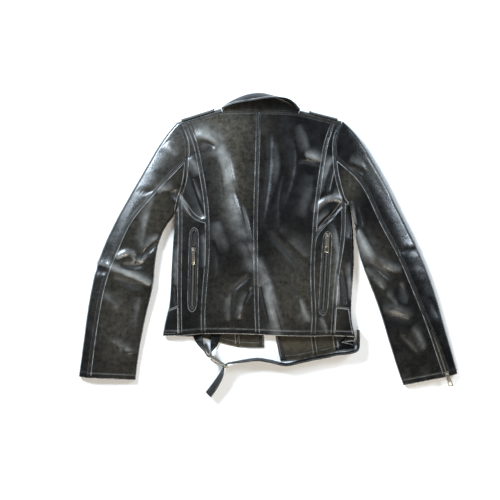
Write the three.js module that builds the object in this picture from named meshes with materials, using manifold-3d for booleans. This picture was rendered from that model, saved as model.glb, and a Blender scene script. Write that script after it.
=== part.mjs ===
// A leather biker jacket laid flat on its front, with its back up. Millimetres, +Z up, the collar towards +Y.
// The fronts lie on the surface at z = 0, the back arches over them, and each sleeve is a flattened tube.
// Left and right are the wearer's: the wearer's left is at -X.

import * as THREE from "three";
import { mergeVertices } from "three/addons/utils/BufferGeometryUtils.js";
import Module from "manifold-3d";

// Driving sizes.
const LEATHER = 1.6; // leather and lining, as one wall
const STRAP = 1.8; // a doubled leather strap
const SEAM_GAP = 0.3; // between two panels where they are sewn
const OVERLAY_GAP = 0.3; // between a piece and what it lies on
const SHOULDER_LIFT = 2.4; // the fronts' shoulders lie this high, on the shoulder straps
const STRAP_UNDER = 18; // how far a shoulder strap reaches in under the shoulder
const COLLAR_END = 26; // width of the collar's ends on the fronts
const BELT = { width: 25, thick: 3 };
const BUCKLE_STRAP = 20; // width
const BUCKLE = { length: 54, height: 35, bar: 4, thick: 3.5, angle: -33.4, x: -115.5, y: -268, lift: 0.3 };
const PRONG = { side: 2.4, clearance: 0.6 };
const ZIP = { slot: 13, tape: 23, tapeThick: 0.9, chain: 5.6, chainHeight: 1.5, drop: 0.5 };
const CUFF_ZIP = { vent: 3.8, tape: 12, from: 0.93, to: 0.997 };
const SLIDER = { length: 11, width: 9, height: 2.6, bridge: 2.6, archOut: 3.1, archHole: 1.9, axis: 1.6 };
const PULL = { thick: 1.4, bar: 1.8, slot: 3.6, slotEnd: 4, rest: 5, corner: 1.5 };

// How many straight stretches each seam has. Two panels that share a seam share its stretches.
const LOWER = 9; // from the hem to the underarm
const ARM_LOWER = 5; // from the underarm to the sleeve's hind seam
const ARM_UPPER = 4; // from there to the shoulder
const UNDERARM = 5; // across the underarm
const ROLL = 6; // round a laid edge
const FRONT_COLUMNS = 5;

const UP = new THREE.Vector3(0, 0, 1);
const at = (x, y, z = 0) => new THREE.Vector3(x, y, z);
const mix = (a, b, t) => a + (b - a) * t;
const inPlan = (v) => v.setZ(0).normalize();
const clamped = (t) => THREE.MathUtils.clamp(t, 0, 1);

// ---- Curves: functions from 0..1 to a point ----

const spline = (rows) => new THREE.CatmullRomCurve3(rows.map((row) => at(...row)), false, "centripetal");

// A smooth line through rows of x, y, z, by its length.
function seam(rows) {
  const curve = spline(rows);
  return (t) => curve.getPointAt(clamped(t));
}
// The same by its rows, so that several columns of one table stay in step.
function rail(rows) {
  const curve = spline(rows);
  return (t) => curve.getPoint(clamped(t));
}
const straight = (a, b) => (t) => a.clone().lerp(b, t);
const flip = (curve) => (t) => curve(1 - t);
const onFloor = (curve) => (t) => curve(t).setZ(0);

// Curves end to end, each with its number of stretches.
function join(...pieces) {
  const total = pieces.reduce((sum, [, count]) => sum + count, 0);
  return (t) => {
    let place = t * total;
    for (const [curve, count] of pieces) {
      if (place <= count + 1e-9) return curve(place / count);
      place -= count;
    }
    return pieces.at(-1)[0](1);
  };
}

// The largest folds: soft ridges and troughs, each along a line in plan.
function folds(rows) {
  return (x, y) => {
    let rise = 0;
    for (const [x0, y0, x1, y1, height, width] of rows) {
      const length2 = (x1 - x0) ** 2 + (y1 - y0) ** 2;
      const t = clamped(((x - x0) * (x1 - x0) + (y - y0) * (y1 - y0)) / length2);
      const away = Math.hypot(x - mix(x0, x1, t), y - mix(y0, y1, t));
      rise += height * Math.exp(-((away / width) ** 2)) * (0.55 + 0.45 * Math.sin(Math.PI * t));
    }
    return rise;
  };
}

// ---- Surfaces and walls ----

// The surface between four seams that meet at their ends, held back from them by half the seam gap.
function patch({ bottom, top, left, right, rows, columns, belly = 0, relief = null }) {
  const corners = [bottom(0), bottom(1), top(0), top(1)];
  const half = SEAM_GAP / 2;
  const grid = [];
  for (let i = 0; i <= rows; i++) {
    const line = [];
    for (let j = 0; j <= columns; j++) {
      const backU = half / Math.max(left(i / rows).distanceTo(right(i / rows)), 1);
      const backV = half / Math.max(bottom(j / columns).distanceTo(top(j / columns)), 1);
      const u = mix(backU, 1 - backU, j / columns);
      const v = mix(backV, 1 - backV, i / rows);
      const p = bottom(u).multiplyScalar(1 - v).addScaledVector(top(u), v);
      p.addScaledVector(left(v), 1 - u).addScaledVector(right(v), u);
      const weights = [(1 - u) * (1 - v), u * (1 - v), (1 - u) * v, u * v];
      weights.forEach((w, k) => p.addScaledVector(corners[k], -w));
      p.z += belly * Math.sin(Math.PI * u) * Math.sin(Math.PI * v);
      if (relief) p.z += relief(p.x, p.y);
      line.push(p);
    }
    grid.push(line);
  }
  return grid;
}

const lifted = (grid, height) => grid.map((line) => line.map((p) => at(p.x, p.y, p.z + height)));

// A closed wall between two grids of the same size, without the cells that skip names.
function wall(outer, inner, skip = () => false) {
  const columns = outer[0].length;
  const count = outer.length * columns;
  const positions = [...outer.flat(), ...inner.flat()].flatMap((p) => [p.x, p.y, p.z]);
  const index = [];
  const rims = new Map();
  const face = (a, b, c) => {
    index.push(a, b, c, c + count, b + count, a + count);
    for (const [from, to] of [[a, b], [b, c], [c, a]]) {
      if (!rims.delete(to + " " + from)) rims.set(from + " " + to, [from, to]);
    }
  };
  for (let i = 0; i + 1 < outer.length; i++) {
    for (let j = 0; j + 1 < columns; j++) {
      if (skip(i, j)) continue;
      const a = i * columns + j;
      face(a, a + 1, a + columns + 1);
      face(a, a + columns + 1, a + columns);
    }
  }
  for (const [from, to] of rims.values()) {
    index.push(to, from, from + count, to, from + count, to + count);
  }
  return facingOut(positions, index);
}

// A mesh of these points with its faces pointing out.
function facingOut(positions, index) {
  const point = (i) => at(positions[3 * i], positions[3 * i + 1], positions[3 * i + 2]);
  let volume = 0;
  for (let k = 0; k < index.length; k += 3) {
    volume += point(index[k]).dot(point(index[k + 1]).cross(point(index[k + 2])));
  }
  if (volume < 0) index.reverse();
  const geometry = new THREE.BufferGeometry();
  geometry.setAttribute("position", new THREE.Float32BufferAttribute(positions, 3));
  geometry.setIndex(index);
  geometry.computeVertexNormals();
  return geometry;
}

// The section of an edge that is folded in between the layers: mm out from where it starts, and share of its drop.
const FOLDED = [[3.5, 0.13], [2, 0.33], [-26, 0.5], [2, 0.67], [3.5, 0.87]];

// A panel that goes round a laid edge: a surface on top, a half round, and a surface underneath.
// Each row of the top one ends over, or nearly over, the start of the same row of the under one.
// firstFaces is the way in plan that the round of the first row faces, where that isn't along the row.
function wrap(top, under, folded = () => 0, firstFaces = null) {
  const outer = [];
  const inner = [];
  top.forEach((line, i) => {
    const high = line.at(-1);
    const low = under[i][0];
    const out = inPlan(high.clone().sub(line.at(-2)));
    const faces = i === 0 && firstFaces ? firstFaces : out;
    const path = line.map((p) => p.clone());
    for (let k = 1; k < ROLL; k++) {
      const angle = Math.PI * (0.5 - k / ROLL);
      const [foldedReach, foldedDrop] = FOLDED[k - 1];
      const reach = mix(((high.z - low.z) / 2) * Math.cos(angle), foldedReach, folded(i));
      const drop = mix((1 - Math.sin(angle)) / 2, foldedDrop, folded(i));
      path.push(high.clone().lerp(low, drop).addScaledVector(out, reach));
    }
    path.push(...under[i].map((p) => p.clone()));
    outer.push(path);
    inner.push(path.map((p, j) => {
      if (j < line.length) return p.clone().addScaledVector(UP, -LEATHER);
      if (j >= line.length + ROLL - 1) return p.clone().addScaledVector(UP, LEATHER);
      const along = path[j + 1].clone().sub(path[j - 1]);
      const normal = faces.clone().multiplyScalar(-along.z).addScaledVector(UP, along.dot(out)).normalize();
      return p.clone().addScaledVector(normal, -LEATHER);
    }));
  });
  return { outer, inner };
}

// A piece that lies on the outside of a wrapped panel, over a range of its rows and columns.
function overlay({ outer, inner }, rows, columns, thick) {
  const cut = (grid) => grid.slice(rows[0], rows[1] + 1).map((line) => line.slice(columns[0], columns[1] + 1));
  const low = cut(inner);
  const raised = (distance) =>
    cut(outer).map((line, i) =>
      line.map((p, j) => p.clone().addScaledVector(p.clone().sub(low[i][j]).normalize(), distance)));
  return wall(raised(OVERLAY_GAP + thick), raised(OVERLAY_GAP));
}

// A strap along rows of x, y, lift above the surface, and lean from flat to on edge in degrees.
function ribbon(rows, width, thick, stretches = 3) {
  const path = rail(rows.map(([x, y]) => [x, y, 0]));
  const set = rail(rows.map(([, , lift, lean]) => [lift, lean, 0]));
  const steps = (rows.length - 1) * stretches;
  const [above, below] = [[], []];
  for (let i = 0; i <= steps; i++) {
    const t = i / steps;
    const ahead = inPlan(path(t + 0.004).sub(path(t - 0.004)));
    const lean = THREE.MathUtils.degToRad(set(t).y);
    const across = at(-ahead.y, ahead.x).multiplyScalar(Math.cos(lean)).addScaledVector(UP, Math.sin(lean));
    const normal = ahead.clone().cross(across);
    const rest = (width / 2) * Math.abs(Math.sin(lean)) + (thick / 2) * Math.abs(Math.cos(lean));
    const centre = path(t).setZ(set(t).x + rest);
    const place = (a, b) =>
      centre.clone().addScaledVector(across, (a * width) / 2).addScaledVector(normal, (b * thick) / 2);
    above.push([place(-1, 1), place(1, 1)]);
    below.push([place(-1, -1), place(1, -1)]);
  }
  return wall(above, below);
}

// ---- Joining and cutting ----

const wasm = await Module();
wasm.setup();

function solid(geometry) {
  const bare = geometry.clone();
  bare.deleteAttribute("normal");
  bare.deleteAttribute("uv");
  const merged = mergeVertices(bare, 1e-4);
  const vertProperties = new Float32Array(merged.getAttribute("position").array);
  const triVerts = new Uint32Array(merged.index.array);
  return new wasm.Manifold(new wasm.Mesh({ numProp: 3, vertProperties, triVerts }));
}
function geometryOf(body) {
  const mesh = body.getMesh();
  const geometry = new THREE.BufferGeometry();
  geometry.setAttribute("position", new THREE.BufferAttribute(mesh.vertProperties, 3));
  geometry.setIndex(new THREE.BufferAttribute(mesh.triVerts, 1));
  geometry.computeVertexNormals();
  return geometry;
}

// ---- The meshes ----

const finish = (color, roughness, metalness) => new THREE.MeshStandardMaterial({ color, roughness, metalness });
const MATERIALS = {
  leather: finish(0x24221f, 0.42, 0),
  facing: finish(0x2e291f, 0.6, 0), // the fronts' inside, faced with leather at the hem and the edges
  tape: finish(0x141414, 0.9, 0),
  metal: finish(0x9b968a, 0.32, 1),
};
const jacket = new THREE.Group();

function add(name, geometry, material, parent = jacket) {
  const mesh = new THREE.Mesh(geometry, MATERIALS[material]);
  mesh.name = name;
  parent.add(mesh);
  return mesh;
}

// ---- Seams of the body. Each row is x, y and the height of the leather there ----

const centreBack = seam([
  [-25, -208, 15], [-28, -128, 21], [-29, -59, 24], [-30, 63, 28], [-26, 194, 28], [-23, 305, 23],
]);
const left = {
  side: -1,
  armTip: at(-204, 276, 19),
  neckPoint: at(-107, 305, 21),
  princessLower: seam([[-150, -206, 16], [-151, -162, 19], [-147, -100, 22], [-141, -31, 24], [-141, 53, 27]]),
  princessUpper: seam([
    [-141, 53, 27], [-143, 91, 28], [-150, 139, 28], [-159, 187, 27], [-167, 229, 25], [-188, 280.8, 19.3],
  ]),
  armLower: seam([[-204, 112, 22], [-194, 139, 26], [-190, 167, 27], [-187, 201, 26]]),
  armUpper: seam([[-187, 201, 26], [-186, 217, 25], [-188, 240, 23], [-204, 276, 19]]),
  underarm: seam([[-204, 112, 22], [-187, 86, 22], [-169, 61, 24], [-141, 53, 27]]),
  sideSeam: seam([
    [-204, -211, 14], [-205, -151, 17], [-205, -82, 19], [-204, -13, 20], [-203, 48, 21], [-204, 112, 22],
  ]),
  // The laid edge of the side, and the hidden seam of the side panel on the front.
  edge: seam([
    [-243, -211, 12], [-238, -182, 14], [-230, -151, 16], [-226, -100, 17], [-222, -13, 18], [-218, 30, 19],
    [-214, 76, 19],
  ]),
  hidden: seam([
    [-188, -213, 0], [-186, -180, 0], [-182, -150, 0], [-180, -100, 0], [-180, -10, 0], [-181, 40, 0], [-204, 112, 0],
  ]),
};
const right = {
  side: 1,
  armTip: at(167, 277, 19),
  neckPoint: at(70, 301, 21),
  princessLower: seam([[102, -212, 16], [105, -174, 19], [101, -82, 22], [102, -24, 24], [105, 15, 25]]),
  princessUpper: seam([
    [105, 15, 25], [107, 56, 27], [112, 100, 28], [124, 187, 27], [133, 238, 24], [150, 281.2, 19.4],
  ]),
  armLower: seam([[172, 101, 22], [161, 139, 26], [154, 171, 27], [152, 201, 26]]),
  armUpper: seam([[152, 201, 26], [151, 231, 25], [156, 258, 23], [167, 277, 19]]),
  underarm: seam([[172, 101, 22], [156, 75, 24], [132, 50, 25], [116, 34, 25], [105, 15, 25]]),
  sideSeam: seam([
    [148, -211, 14], [151, -162, 17], [155, -93, 19], [162, -40, 20], [169, -1, 21], [173, 45, 22], [172, 101, 22],
  ]),
  edge: seam([
    [203, -213, 15], [196, -186, 16], [192, -160, 17], [192, -116, 17], [197, -70, 18], [198, -17, 18], [195, 45, 18],
    [189, 93, 19],
  ]),
  hidden: seam([
    [158, -247, 0], [152, -204, 0], [148, -165, 0], [146, -116, 0], [146, -70, 0], [148, -17, 0], [156, 45, 0],
    [172, 101, 0],
  ]),
};
const neckLeft = seam([[-107, 305, 21], [-66, 306, 22], [-23, 305, 23]]);
const neckRight = seam([[-23, 305, 23], [26, 304, 22], [70, 301, 21]]);

// Where the leather of a side starts to roll over its laid edge.
const brink = (s) => (t) => {
  const e = s.edge(t);
  return e.clone().addScaledVector(inPlan(s.sideSeam(t).sub(e)), e.z / 2);
};

// A drag line from the left shoulder to the right of the hem, slack beside the centre back, and pulls at the zips.
const backFolds = folds([
  // from x, y, to x, y, height, width
  [-160, 235, -118, 196, 2.6, 17],
  [-118, 196, -72, 68, 3.4, 16],
  [-72, 68, -29, -59, 3.2, 15],
  [-24, -70, 20, -200, 3.0, 14],
  [-2, 240, 0, 80, -2.4, 14],
  [60, 190, 112, 178, -2.0, 12],
  [76, -60, 84, -190, -2.0, 11],
  [-60, -120, -95, -195, 2.0, 9],
  [-172, 125, -160, 76, -3.5, 9],
  [150, 90, 118, 58, 2.4, 9],
]);

// ---- Back: two centre panels and two side backs ----

const princess = (s) => join([s.princessLower, LOWER], [s.princessUpper, ARM_LOWER + ARM_UPPER]);

function backPanel(name, edges) {
  const rows = LOWER + ARM_LOWER + ARM_UPPER;
  const grid = patch({ ...edges, rows, columns: 6, belly: 1.5, relief: backFolds });
  add(name, wall(grid, lifted(grid, -LEATHER)), "leather");
}
backPanel("back_left", {
  left: princess(left),
  right: centreBack,
  bottom: seam([[-150, -206, 16], [-88, -206, 15], [-25, -208, 15]]),
  top: join([straight(left.princessUpper(1), left.neckPoint), 3], [neckLeft, 3]),
});
backPanel("back_right", {
  left: centreBack,
  right: princess(right),
  bottom: seam([[-25, -208, 15], [38, -211, 14], [102, -212, 16]]),
  top: join([neckRight, 3], [straight(right.neckPoint, right.princessUpper(1)), 3]),
});

function sideBack(name, s) {
  const armhole = join([s.armLower, ARM_LOWER], [s.armUpper, ARM_UPPER]);
  const isLeft = s.side < 0;
  const grid = patch({
    left: isLeft ? armhole : s.princessUpper,
    right: isLeft ? s.princessUpper : armhole,
    bottom: isLeft ? s.underarm : flip(s.underarm),
    top: isLeft ? straight(s.armTip, s.princessUpper(1)) : straight(s.princessUpper(1), s.armTip),
    rows: ARM_LOWER + ARM_UPPER,
    columns: UNDERARM,
    relief: backFolds,
  });
  add(name, wall(grid, lifted(grid, -LEATHER)), "leather");
}
sideBack("side_back_left", left);
sideBack("side_back_right", right);

// ---- Zip panels, each with a slot for its zip ----

const SLOT = { firstRow: 2, lastRow: 8, leftColumn: 2, rightColumn: 3 };
const zipLine = {
  left: straight(at(-176, -152), at(-171, 36)),
  right: straight(at(125, -160), at(136, 27)),
};

// Returns the height of the leather beside the zip, carried on across it.
function zipPanel(name, s, line) {
  const isLeft = s.side < 0;
  const grid = patch({
    left: isLeft ? s.sideSeam : s.princessLower,
    right: isLeft ? s.princessLower : s.sideSeam,
    bottom: isLeft ? straight(s.sideSeam(0), s.princessLower(0)) : straight(s.princessLower(0), s.sideSeam(0)),
    top: isLeft ? s.underarm : flip(s.underarm),
    rows: LOWER,
    columns: UNDERARM,
    relief: backFolds,
  });
  for (let i = SLOT.firstRow; i <= SLOT.lastRow; i++) {
    const middle = line((i - SLOT.firstRow) / (SLOT.lastRow - SLOT.firstRow));
    const [a, b] = [grid[i][SLOT.leftColumn], grid[i][SLOT.rightColumn]];
    a.set(middle.x - ZIP.slot / 2, middle.y, a.z);
    b.set(middle.x + ZIP.slot / 2, middle.y, b.z);
    for (const [k, from, to] of [[1, 0, 2], [4, 3, 5]]) {
      grid[i][k].x = (grid[i][from].x + grid[i][to].x) / 2;
      grid[i][k].y = (grid[i][from].y + grid[i][to].y) / 2;
    }
  }
  const inSlot = (i, j) => i >= SLOT.firstRow && i < SLOT.lastRow && j === SLOT.leftColumn;
  add(name, wall(grid, lifted(grid, -LEATHER), inSlot), "leather");
  const slotRows = grid.slice(SLOT.firstRow, SLOT.lastRow + 1);
  const sides = slotRows.map((row) => [row[SLOT.leftColumn].z, row[SLOT.rightColumn].z]);
  return (t, across) => {
    const place = clamped(t) * (sides.length - 1);
    const row = Math.min(Math.floor(place), sides.length - 2);
    const [a, b] = [0, 1].map((k) => mix(sides[row][k], sides[row + 1][k], place - row));
    return mix(a, b, across / ZIP.slot + 0.5);
  };
}
const besideZip = {
  left: zipPanel("zip_panel_left", left, zipLine.left),
  right: zipPanel("zip_panel_right", right, zipLine.right),
};

// ---- Side panels, round the laid edge from the side seam to a hidden seam on the front ----

// lag is how far the underside lies towards the hem, and folded how far the edge is folded in, by row.
function sidePanel(name, s, lag, folded) {
  const high = brink(s);
  const low = (t) => high(t).setZ(0).add(at(0, -lag(t)));
  const top = patch({
    left: s.sideSeam, right: high,
    bottom: straight(s.sideSeam(0), high(0)), top: straight(s.sideSeam(1), high(1)),
    rows: LOWER, columns: 3,
  });
  const under = patch({
    left: low, right: s.hidden,
    bottom: straight(low(0), s.hidden(0)), top: straight(low(1), s.hidden(1)),
    rows: LOWER, columns: 2,
  });
  under.forEach((line, i) => line[0].copy(top[i].at(-1)).setZ(0).add(at(0, -lag(i / LOWER))));
  const shell = wrap(top, under, folded);
  add(name, wall(shell.outer, shell.inner), "leather");
  return shell;
}
const sideLeft = sidePanel("side_left", left, () => 0, () => 0);
const sideRight = sidePanel("side_right", right, (t) => 30 * Math.max(0, 1 - t / 0.2), (i) => [1, 0.3][i] ?? 0);

// The band sewn round each side at the hem.
add("hem_band_left", overlay(sideLeft, [0, 2], [0, 6], STRAP), "leather");
add("hem_band_right", overlay(sideRight, [0, 2], [0, 4], STRAP), "leather");

// ---- Fronts, flat on the surface with their inside up, each of two panels ----

// Square to the shoulder seam in plan, away from the body.
function shoulderOut(s) {
  const along = inPlan(s.neckPoint.clone().sub(s.armTip));
  return at(-along.y, along.x).multiplyScalar(-s.side);
}
// The shoulder of a front lies on its strap, and comes down to the surface away from it.
const shoulderRise = (s) => (p) => {
  const away = -p.clone().sub(s.armTip).dot(shoulderOut(s));
  return SHOULDER_LIFT * clamped((60 - away) / 24);
};

function frontPanels(suffix, s, table) {
  const isLeft = s.side < 0;
  const facing = (curve) => (isLeft ? curve : flip(curve));
  const across = (outside, inside) => (isLeft ? { left: outside, right: inside } : { left: inside, right: outside });
  const princessFront = seam([...table.princess, [s.armLower(1).x, s.armLower(1).y, 0]]);

  const side = patch({
    ...across(s.hidden, princessFront),
    bottom: facing(seam(table.hemSide)),
    top: facing(onFloor(s.armLower)),
    rows: LOWER,
    columns: ARM_LOWER,
  });
  add("front_side_" + suffix, wall(lifted(side, LEATHER), side), "facing");

  const flat = patch({
    ...across(join([princessFront, LOWER], [onFloor(s.armUpper), ARM_UPPER]), table.edge),
    bottom: facing(seam(table.hemFront)),
    top: facing(straight(s.armTip.clone().setZ(0), s.neckPoint.clone().setZ(0))),
    rows: LOWER + ARM_UPPER,
    columns: FRONT_COLUMNS,
  });
  const rise = shoulderRise(s);
  flat.forEach((line) => line.forEach((p) => p.setZ(rise(p.clone().setZ(s.armTip.z)))));

  // From there the leather rolls up and over to the shoulder seam on top.
  const out = shoulderOut(s);
  const outer = [...flat];
  const inner = lifted(flat, LEATHER);
  for (let k = 1; k <= ROLL; k++) {
    const angle = Math.PI * (k / ROLL - 0.5);
    const direction = out.clone().multiplyScalar(Math.cos(angle)).addScaledVector(UP, Math.sin(angle));
    const settle = out.clone().multiplyScalar(k === ROLL ? SEAM_GAP : 0);
    const round = (thick) => flat.at(-1).map((p, j) => {
      const share = isLeft ? j / FRONT_COLUMNS : 1 - j / FRONT_COLUMNS;
      const radius = (mix(s.armTip.z, s.neckPoint.z, share) - p.z) / 2;
      return p.clone().addScaledVector(UP, radius).addScaledVector(direction, radius - thick).add(settle);
    });
    outer.push(round(0));
    inner.push(round(LEATHER));
  }
  add("front_" + suffix, wall(outer, inner), "facing");
}

const frontEdge = {
  left: seam([[-10, -239, 0], [-10, -120, 0], [-9, 20, 0], [-8, 150, 0], [-30, 215, 0], [-107, 305, 0]]),
  right: seam([[28, -270, 0], [14, -205, 0], [10, -90, 0], [9, 150, 0], [26, 220, 0], [70, 301, 0]]),
};
frontPanels("left", left, {
  princess: [[-70, -237, 0], [-96, -40, 0], [-140, 120, 0]],
  hemSide: [[-188, -213, 0], [-158, -213, 0], [-130, -222, 0], [-98, -232, 0], [-70, -237, 0]],
  hemFront: [[-70, -237, 0], [-40, -239, 0], [-10, -239, 0]],
  edge: frontEdge.left,
});
frontPanels("right", right, {
  princess: [[109, -258, 0], [88, -60, 0], [112, 100, 0]],
  hemSide: [[158, -247, 0], [134, -254, 0], [109, -258, 0]],
  hemFront: [[109, -258, 0], [72, -266, 0], [28, -270, 0]],
  edge: frontEdge.right,
});

// ---- Shoulder straps, sewn in at the armhole and lying round the shoulder ----

function shoulderStrap(name, s, from, to) {
  const out = shoulderOut(s);
  const [low, high] = [[], []];
  for (let i = 0; i <= 5; i++) {
    const foot = s.armTip.clone().lerp(s.neckPoint, mix(from, to, i / 5));
    const radius = (foot.z - SHOULDER_LIFT) / 2;
    foot.setZ(SHOULDER_LIFT + radius);
    const section = (offset) => {
      const points = [-STRAP_UNDER, -STRAP_UNDER / 2]
        .map((d) => foot.clone().addScaledVector(out, d).setZ(SHOULDER_LIFT - offset));
      for (let k = 0; k < ROLL; k++) {
        const angle = Math.PI * (k / ROLL - 0.5);
        const reach = out.clone().multiplyScalar(Math.cos(angle)).addScaledVector(UP, Math.sin(angle));
        points.push(foot.clone().addScaledVector(reach, radius + offset));
      }
      return points;
    };
    low.push(section(OVERLAY_GAP));
    high.push(section(OVERLAY_GAP + STRAP));
  }
  add(name, wall(high, low), "leather");
}
shoulderStrap("shoulder_strap_left", left, 0.06, 0.84);
shoulderStrap("shoulder_strap_right", right, 0.1, 0.78);

// ---- Sleeves: a top and an under sleeve, sewn at the hind seam and at a hidden seam below ----

const HIDDEN_SEAM = 0.58; // across the underside, from the outer edge to the inner one

// Moves the first row off the armhole by the seam gap, square to the seam.
function standOff(grid) {
  const [first, second] = grid;
  const middle = Math.floor(first.length / 2);
  const square = (j) => {
    const along = inPlan(first[Math.min(j + 1, first.length - 1)].clone().sub(first[Math.max(j - 1, 0)]));
    return at(-along.y, along.x);
  };
  const away = second[middle].clone().sub(first[middle]);
  const gap = square(middle).dot(away) < 0 ? -SEAM_GAP : SEAM_GAP;
  const moves = first.map((_, j) => square(j).multiplyScalar(gap));
  first.forEach((p, j) => p.add(moves[j]));
}

// The rows of the table run from the armhole to the cuff. vent opens the last of the hind seam for a zip.
function sleeve(suffix, s, table, creases, vent) {
  const rows = table.length - 1;
  const column = (a, b, c) => rail(table.map((row) => [row[a], row[b], row[c]]));
  const [outerEdge, hindSeam, innerEdge] = [column(0, 1, 6), column(2, 3, 7), column(4, 5, 6)];
  const relief = folds(creases);

  function piece(edgeAt, armhole, columns, firstFaces) {
    const [top, under] = [[], []];
    for (let i = 0; i <= rows; i++) {
      const t = i / rows;
      const [edge, start] = [edgeAt(t), hindSeam(t)];
      const out = inPlan(edge.clone().sub(start));
      const end = edge.clone().addScaledVector(out, -edge.z / 2);
      const line = [];
      for (let j = 0; j <= columns; j++) {
        const u = j / columns;
        const p = i === 0 ? armhole(u) : start.clone().lerp(end, u);
        if (i > 0) p.z = mix(start.z, end.z, u * u) + relief(p.x, p.y);
        if (j === 0) p.addScaledVector(out, SEAM_GAP / 2 + (i >= rows - 1 ? vent : 0));
        line.push(p);
      }
      top.push(line);
      const low = line.at(-1).clone().setZ(0);
      const hidden = outerEdge(t).lerp(innerEdge(t), HIDDEN_SEAM).setZ(0);
      const below = line.map((_, j) => {
        const u = j / columns;
        return i === 0 ? armhole(1 - u).setZ(0) : low.clone().lerp(hidden, u);
      });
      const back = inPlan(below.at(-2).clone().sub(below.at(-1)));
      below.at(-1).addScaledVector(back, SEAM_GAP / 2);
      under.push(below);
    }
    standOff(top);
    standOff(under);
    under.forEach((line, i) => line[0].copy(top[i].at(-1)).setZ(0));
    return wrap(top, under, () => 0, firstFaces);
  }
  const topSleeve = piece(outerEdge, s.armUpper, ARM_UPPER);
  const armEdge = straight(s.armLower(0), brink(s)(1));
  const armLower = join([flip(s.armLower), ARM_LOWER], [armEdge, 1]);
  const inward = innerEdge(1 / rows).sub(innerEdge(0));
  const underSleeve = piece(innerEdge, armLower, ARM_LOWER + 1, inPlan(at(inward.y, -inward.x)).multiplyScalar(s.side));
  add("top_sleeve_" + suffix, wall(topSleeve.outer, topSleeve.inner), "leather");
  add("under_sleeve_" + suffix, wall(underSleeve.outer, underSleeve.inner), "leather");
  return hindSeam;
}

sleeve("left", left, [
  // outer edge x, y, hind seam x, y, inner edge x, y, height at the edges, height at the seam
  [-206, 285, -187, 201, -212, 76, 19, 26],
  [-243, 247, -213, 173, -219, 64, 21, 29],
  [-273, 194, -250, 136, -227, 54, 23, 31],
  [-300, 148, -286, 95, -238, 38, 24, 31],
  [-328, 98, -316, 61, -250, 14, 24, 30],
  [-360, 43, -335, 26, -257, -17, 24, 30],
  [-381, -6, -353, -22, -262, -49, 24, 31],
  [-396, -45, -368, -54, -263, -82, 22, 29],
  [-408, -93, -381, -93, -268, -107, 21, 27],
  [-419, -158, -394, -158, -281, -158, 19, 24],
  [-428, -231, -405, -231, -297, -231, 16, 20],
  [-438, -305, -414, -308, -307, -313, 12, 16],
], [
  // from x, y, to x, y, height, width
  [-352, -34, -276, -22, 3.5, 11],
  [-372, -62, -270, -92, 4.5, 11],
  [-330, -58, -275, -58, -4.0, 10],
  [-360, -82, -300, -98, -2.5, 10],
], 0);

const hindRight = sleeve("right", right, [
  // outer edge x, y, hind seam x, y, inner edge x, y, height at the edges, height at the seam
  [169, 286, 152, 201, 189, 94, 19, 26],
  [204, 256, 178, 179, 197, 70, 21, 29],
  [233, 208, 210, 152, 202, 31, 23, 31],
  [261, 158, 233, 112, 206, -6, 24, 32],
  [289, 102, 252, 66, 213, -40, 24, 31],
  [316, 49, 275, 21, 228, -79, 24, 31],
  [342, -3, 301, -22, 243, -116, 23, 30],
  [367, -63, 323, -75, 258, -158, 22, 29],
  [388, -121, 343, -123, 270, -199, 20, 27],
  [408, -197, 368, -184, 286, -250, 18, 23],
  [423, -247, 390, -238, 300, -296, 15, 19],
  [437, -298, 413, -305, 312, -325, 12, 15],
], [
  // from x, y, to x, y, height, width
  [252, 70, 222, 40, -2.5, 11],
  [318, -56, 262, -90, 3.5, 12],
  [312, -100, 288, -150, -2.5, 10],
  [252, -25, 242, -60, 3.0, 10],
], CUFF_ZIP.vent);

// ---- Collar: a stand at the neck seam, folded over into the leaf, whose edge stands off the back ----

function collar(rows) {
  const [outer, inner] = [[], []];
  const [seamAt, foldAt, edgeAt] = [0, 3, 6].map((k) => rail(rows.map((row) => row.slice(k, k + 3))));
  for (let i = 0; i <= 12; i++) {
    const [s, f, e] = [seamAt(i / 12), foldAt(i / 12), edgeAt(i / 12)];
    const path = [
      s, s.clone().lerp(f, 0.5).add(at(0, 0, -1.5)), f.clone().add(at(0, -3, -1.5)), f.clone().add(at(0, 0, 1.5)),
      f.clone().lerp(e, 0.35).add(at(0, 1, 2)), f.clone().lerp(e, 0.7).add(at(0, 0.5, 1.5)), e,
    ];
    outer.push(path);
    inner.push(path.map((p, k) => {
      const along = path[Math.min(k + 1, 6)].clone().sub(path[Math.max(k - 1, 0)]).setX(0);
      return p.clone().add(at(0, -along.z, along.y).setLength(LEATHER));
    }));
  }
  return wall(outer, inner);
}
add("collar", collar([
  // seam x, y, z, fold x, y, z, leaf edge x, y, z
  [-105, 305.6, 21, -108, 315, 23, -106, 312, 29],
  [-92, 306.2, 21.4, -95, 326, 25, -89, 320, 37],
  [-66, 306.5, 22, -68, 340, 27, -66, 325, 44],
  [-40, 306.2, 22.7, -40, 349, 28, -40, 328, 48],
  [-14, 305.6, 23, -14, 350, 28, -10, 333, 50],
  [12, 305.1, 22.4, 12, 342, 27, 18, 336, 50],
  [38, 304.3, 21.8, 38, 334, 25, 44, 334, 46],
  [58, 302.9, 21.3, 57, 322, 23, 60, 325, 36],
  [69, 301.9, 21, 70, 309, 22, 72, 309, 29],
]), "leather");

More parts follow.
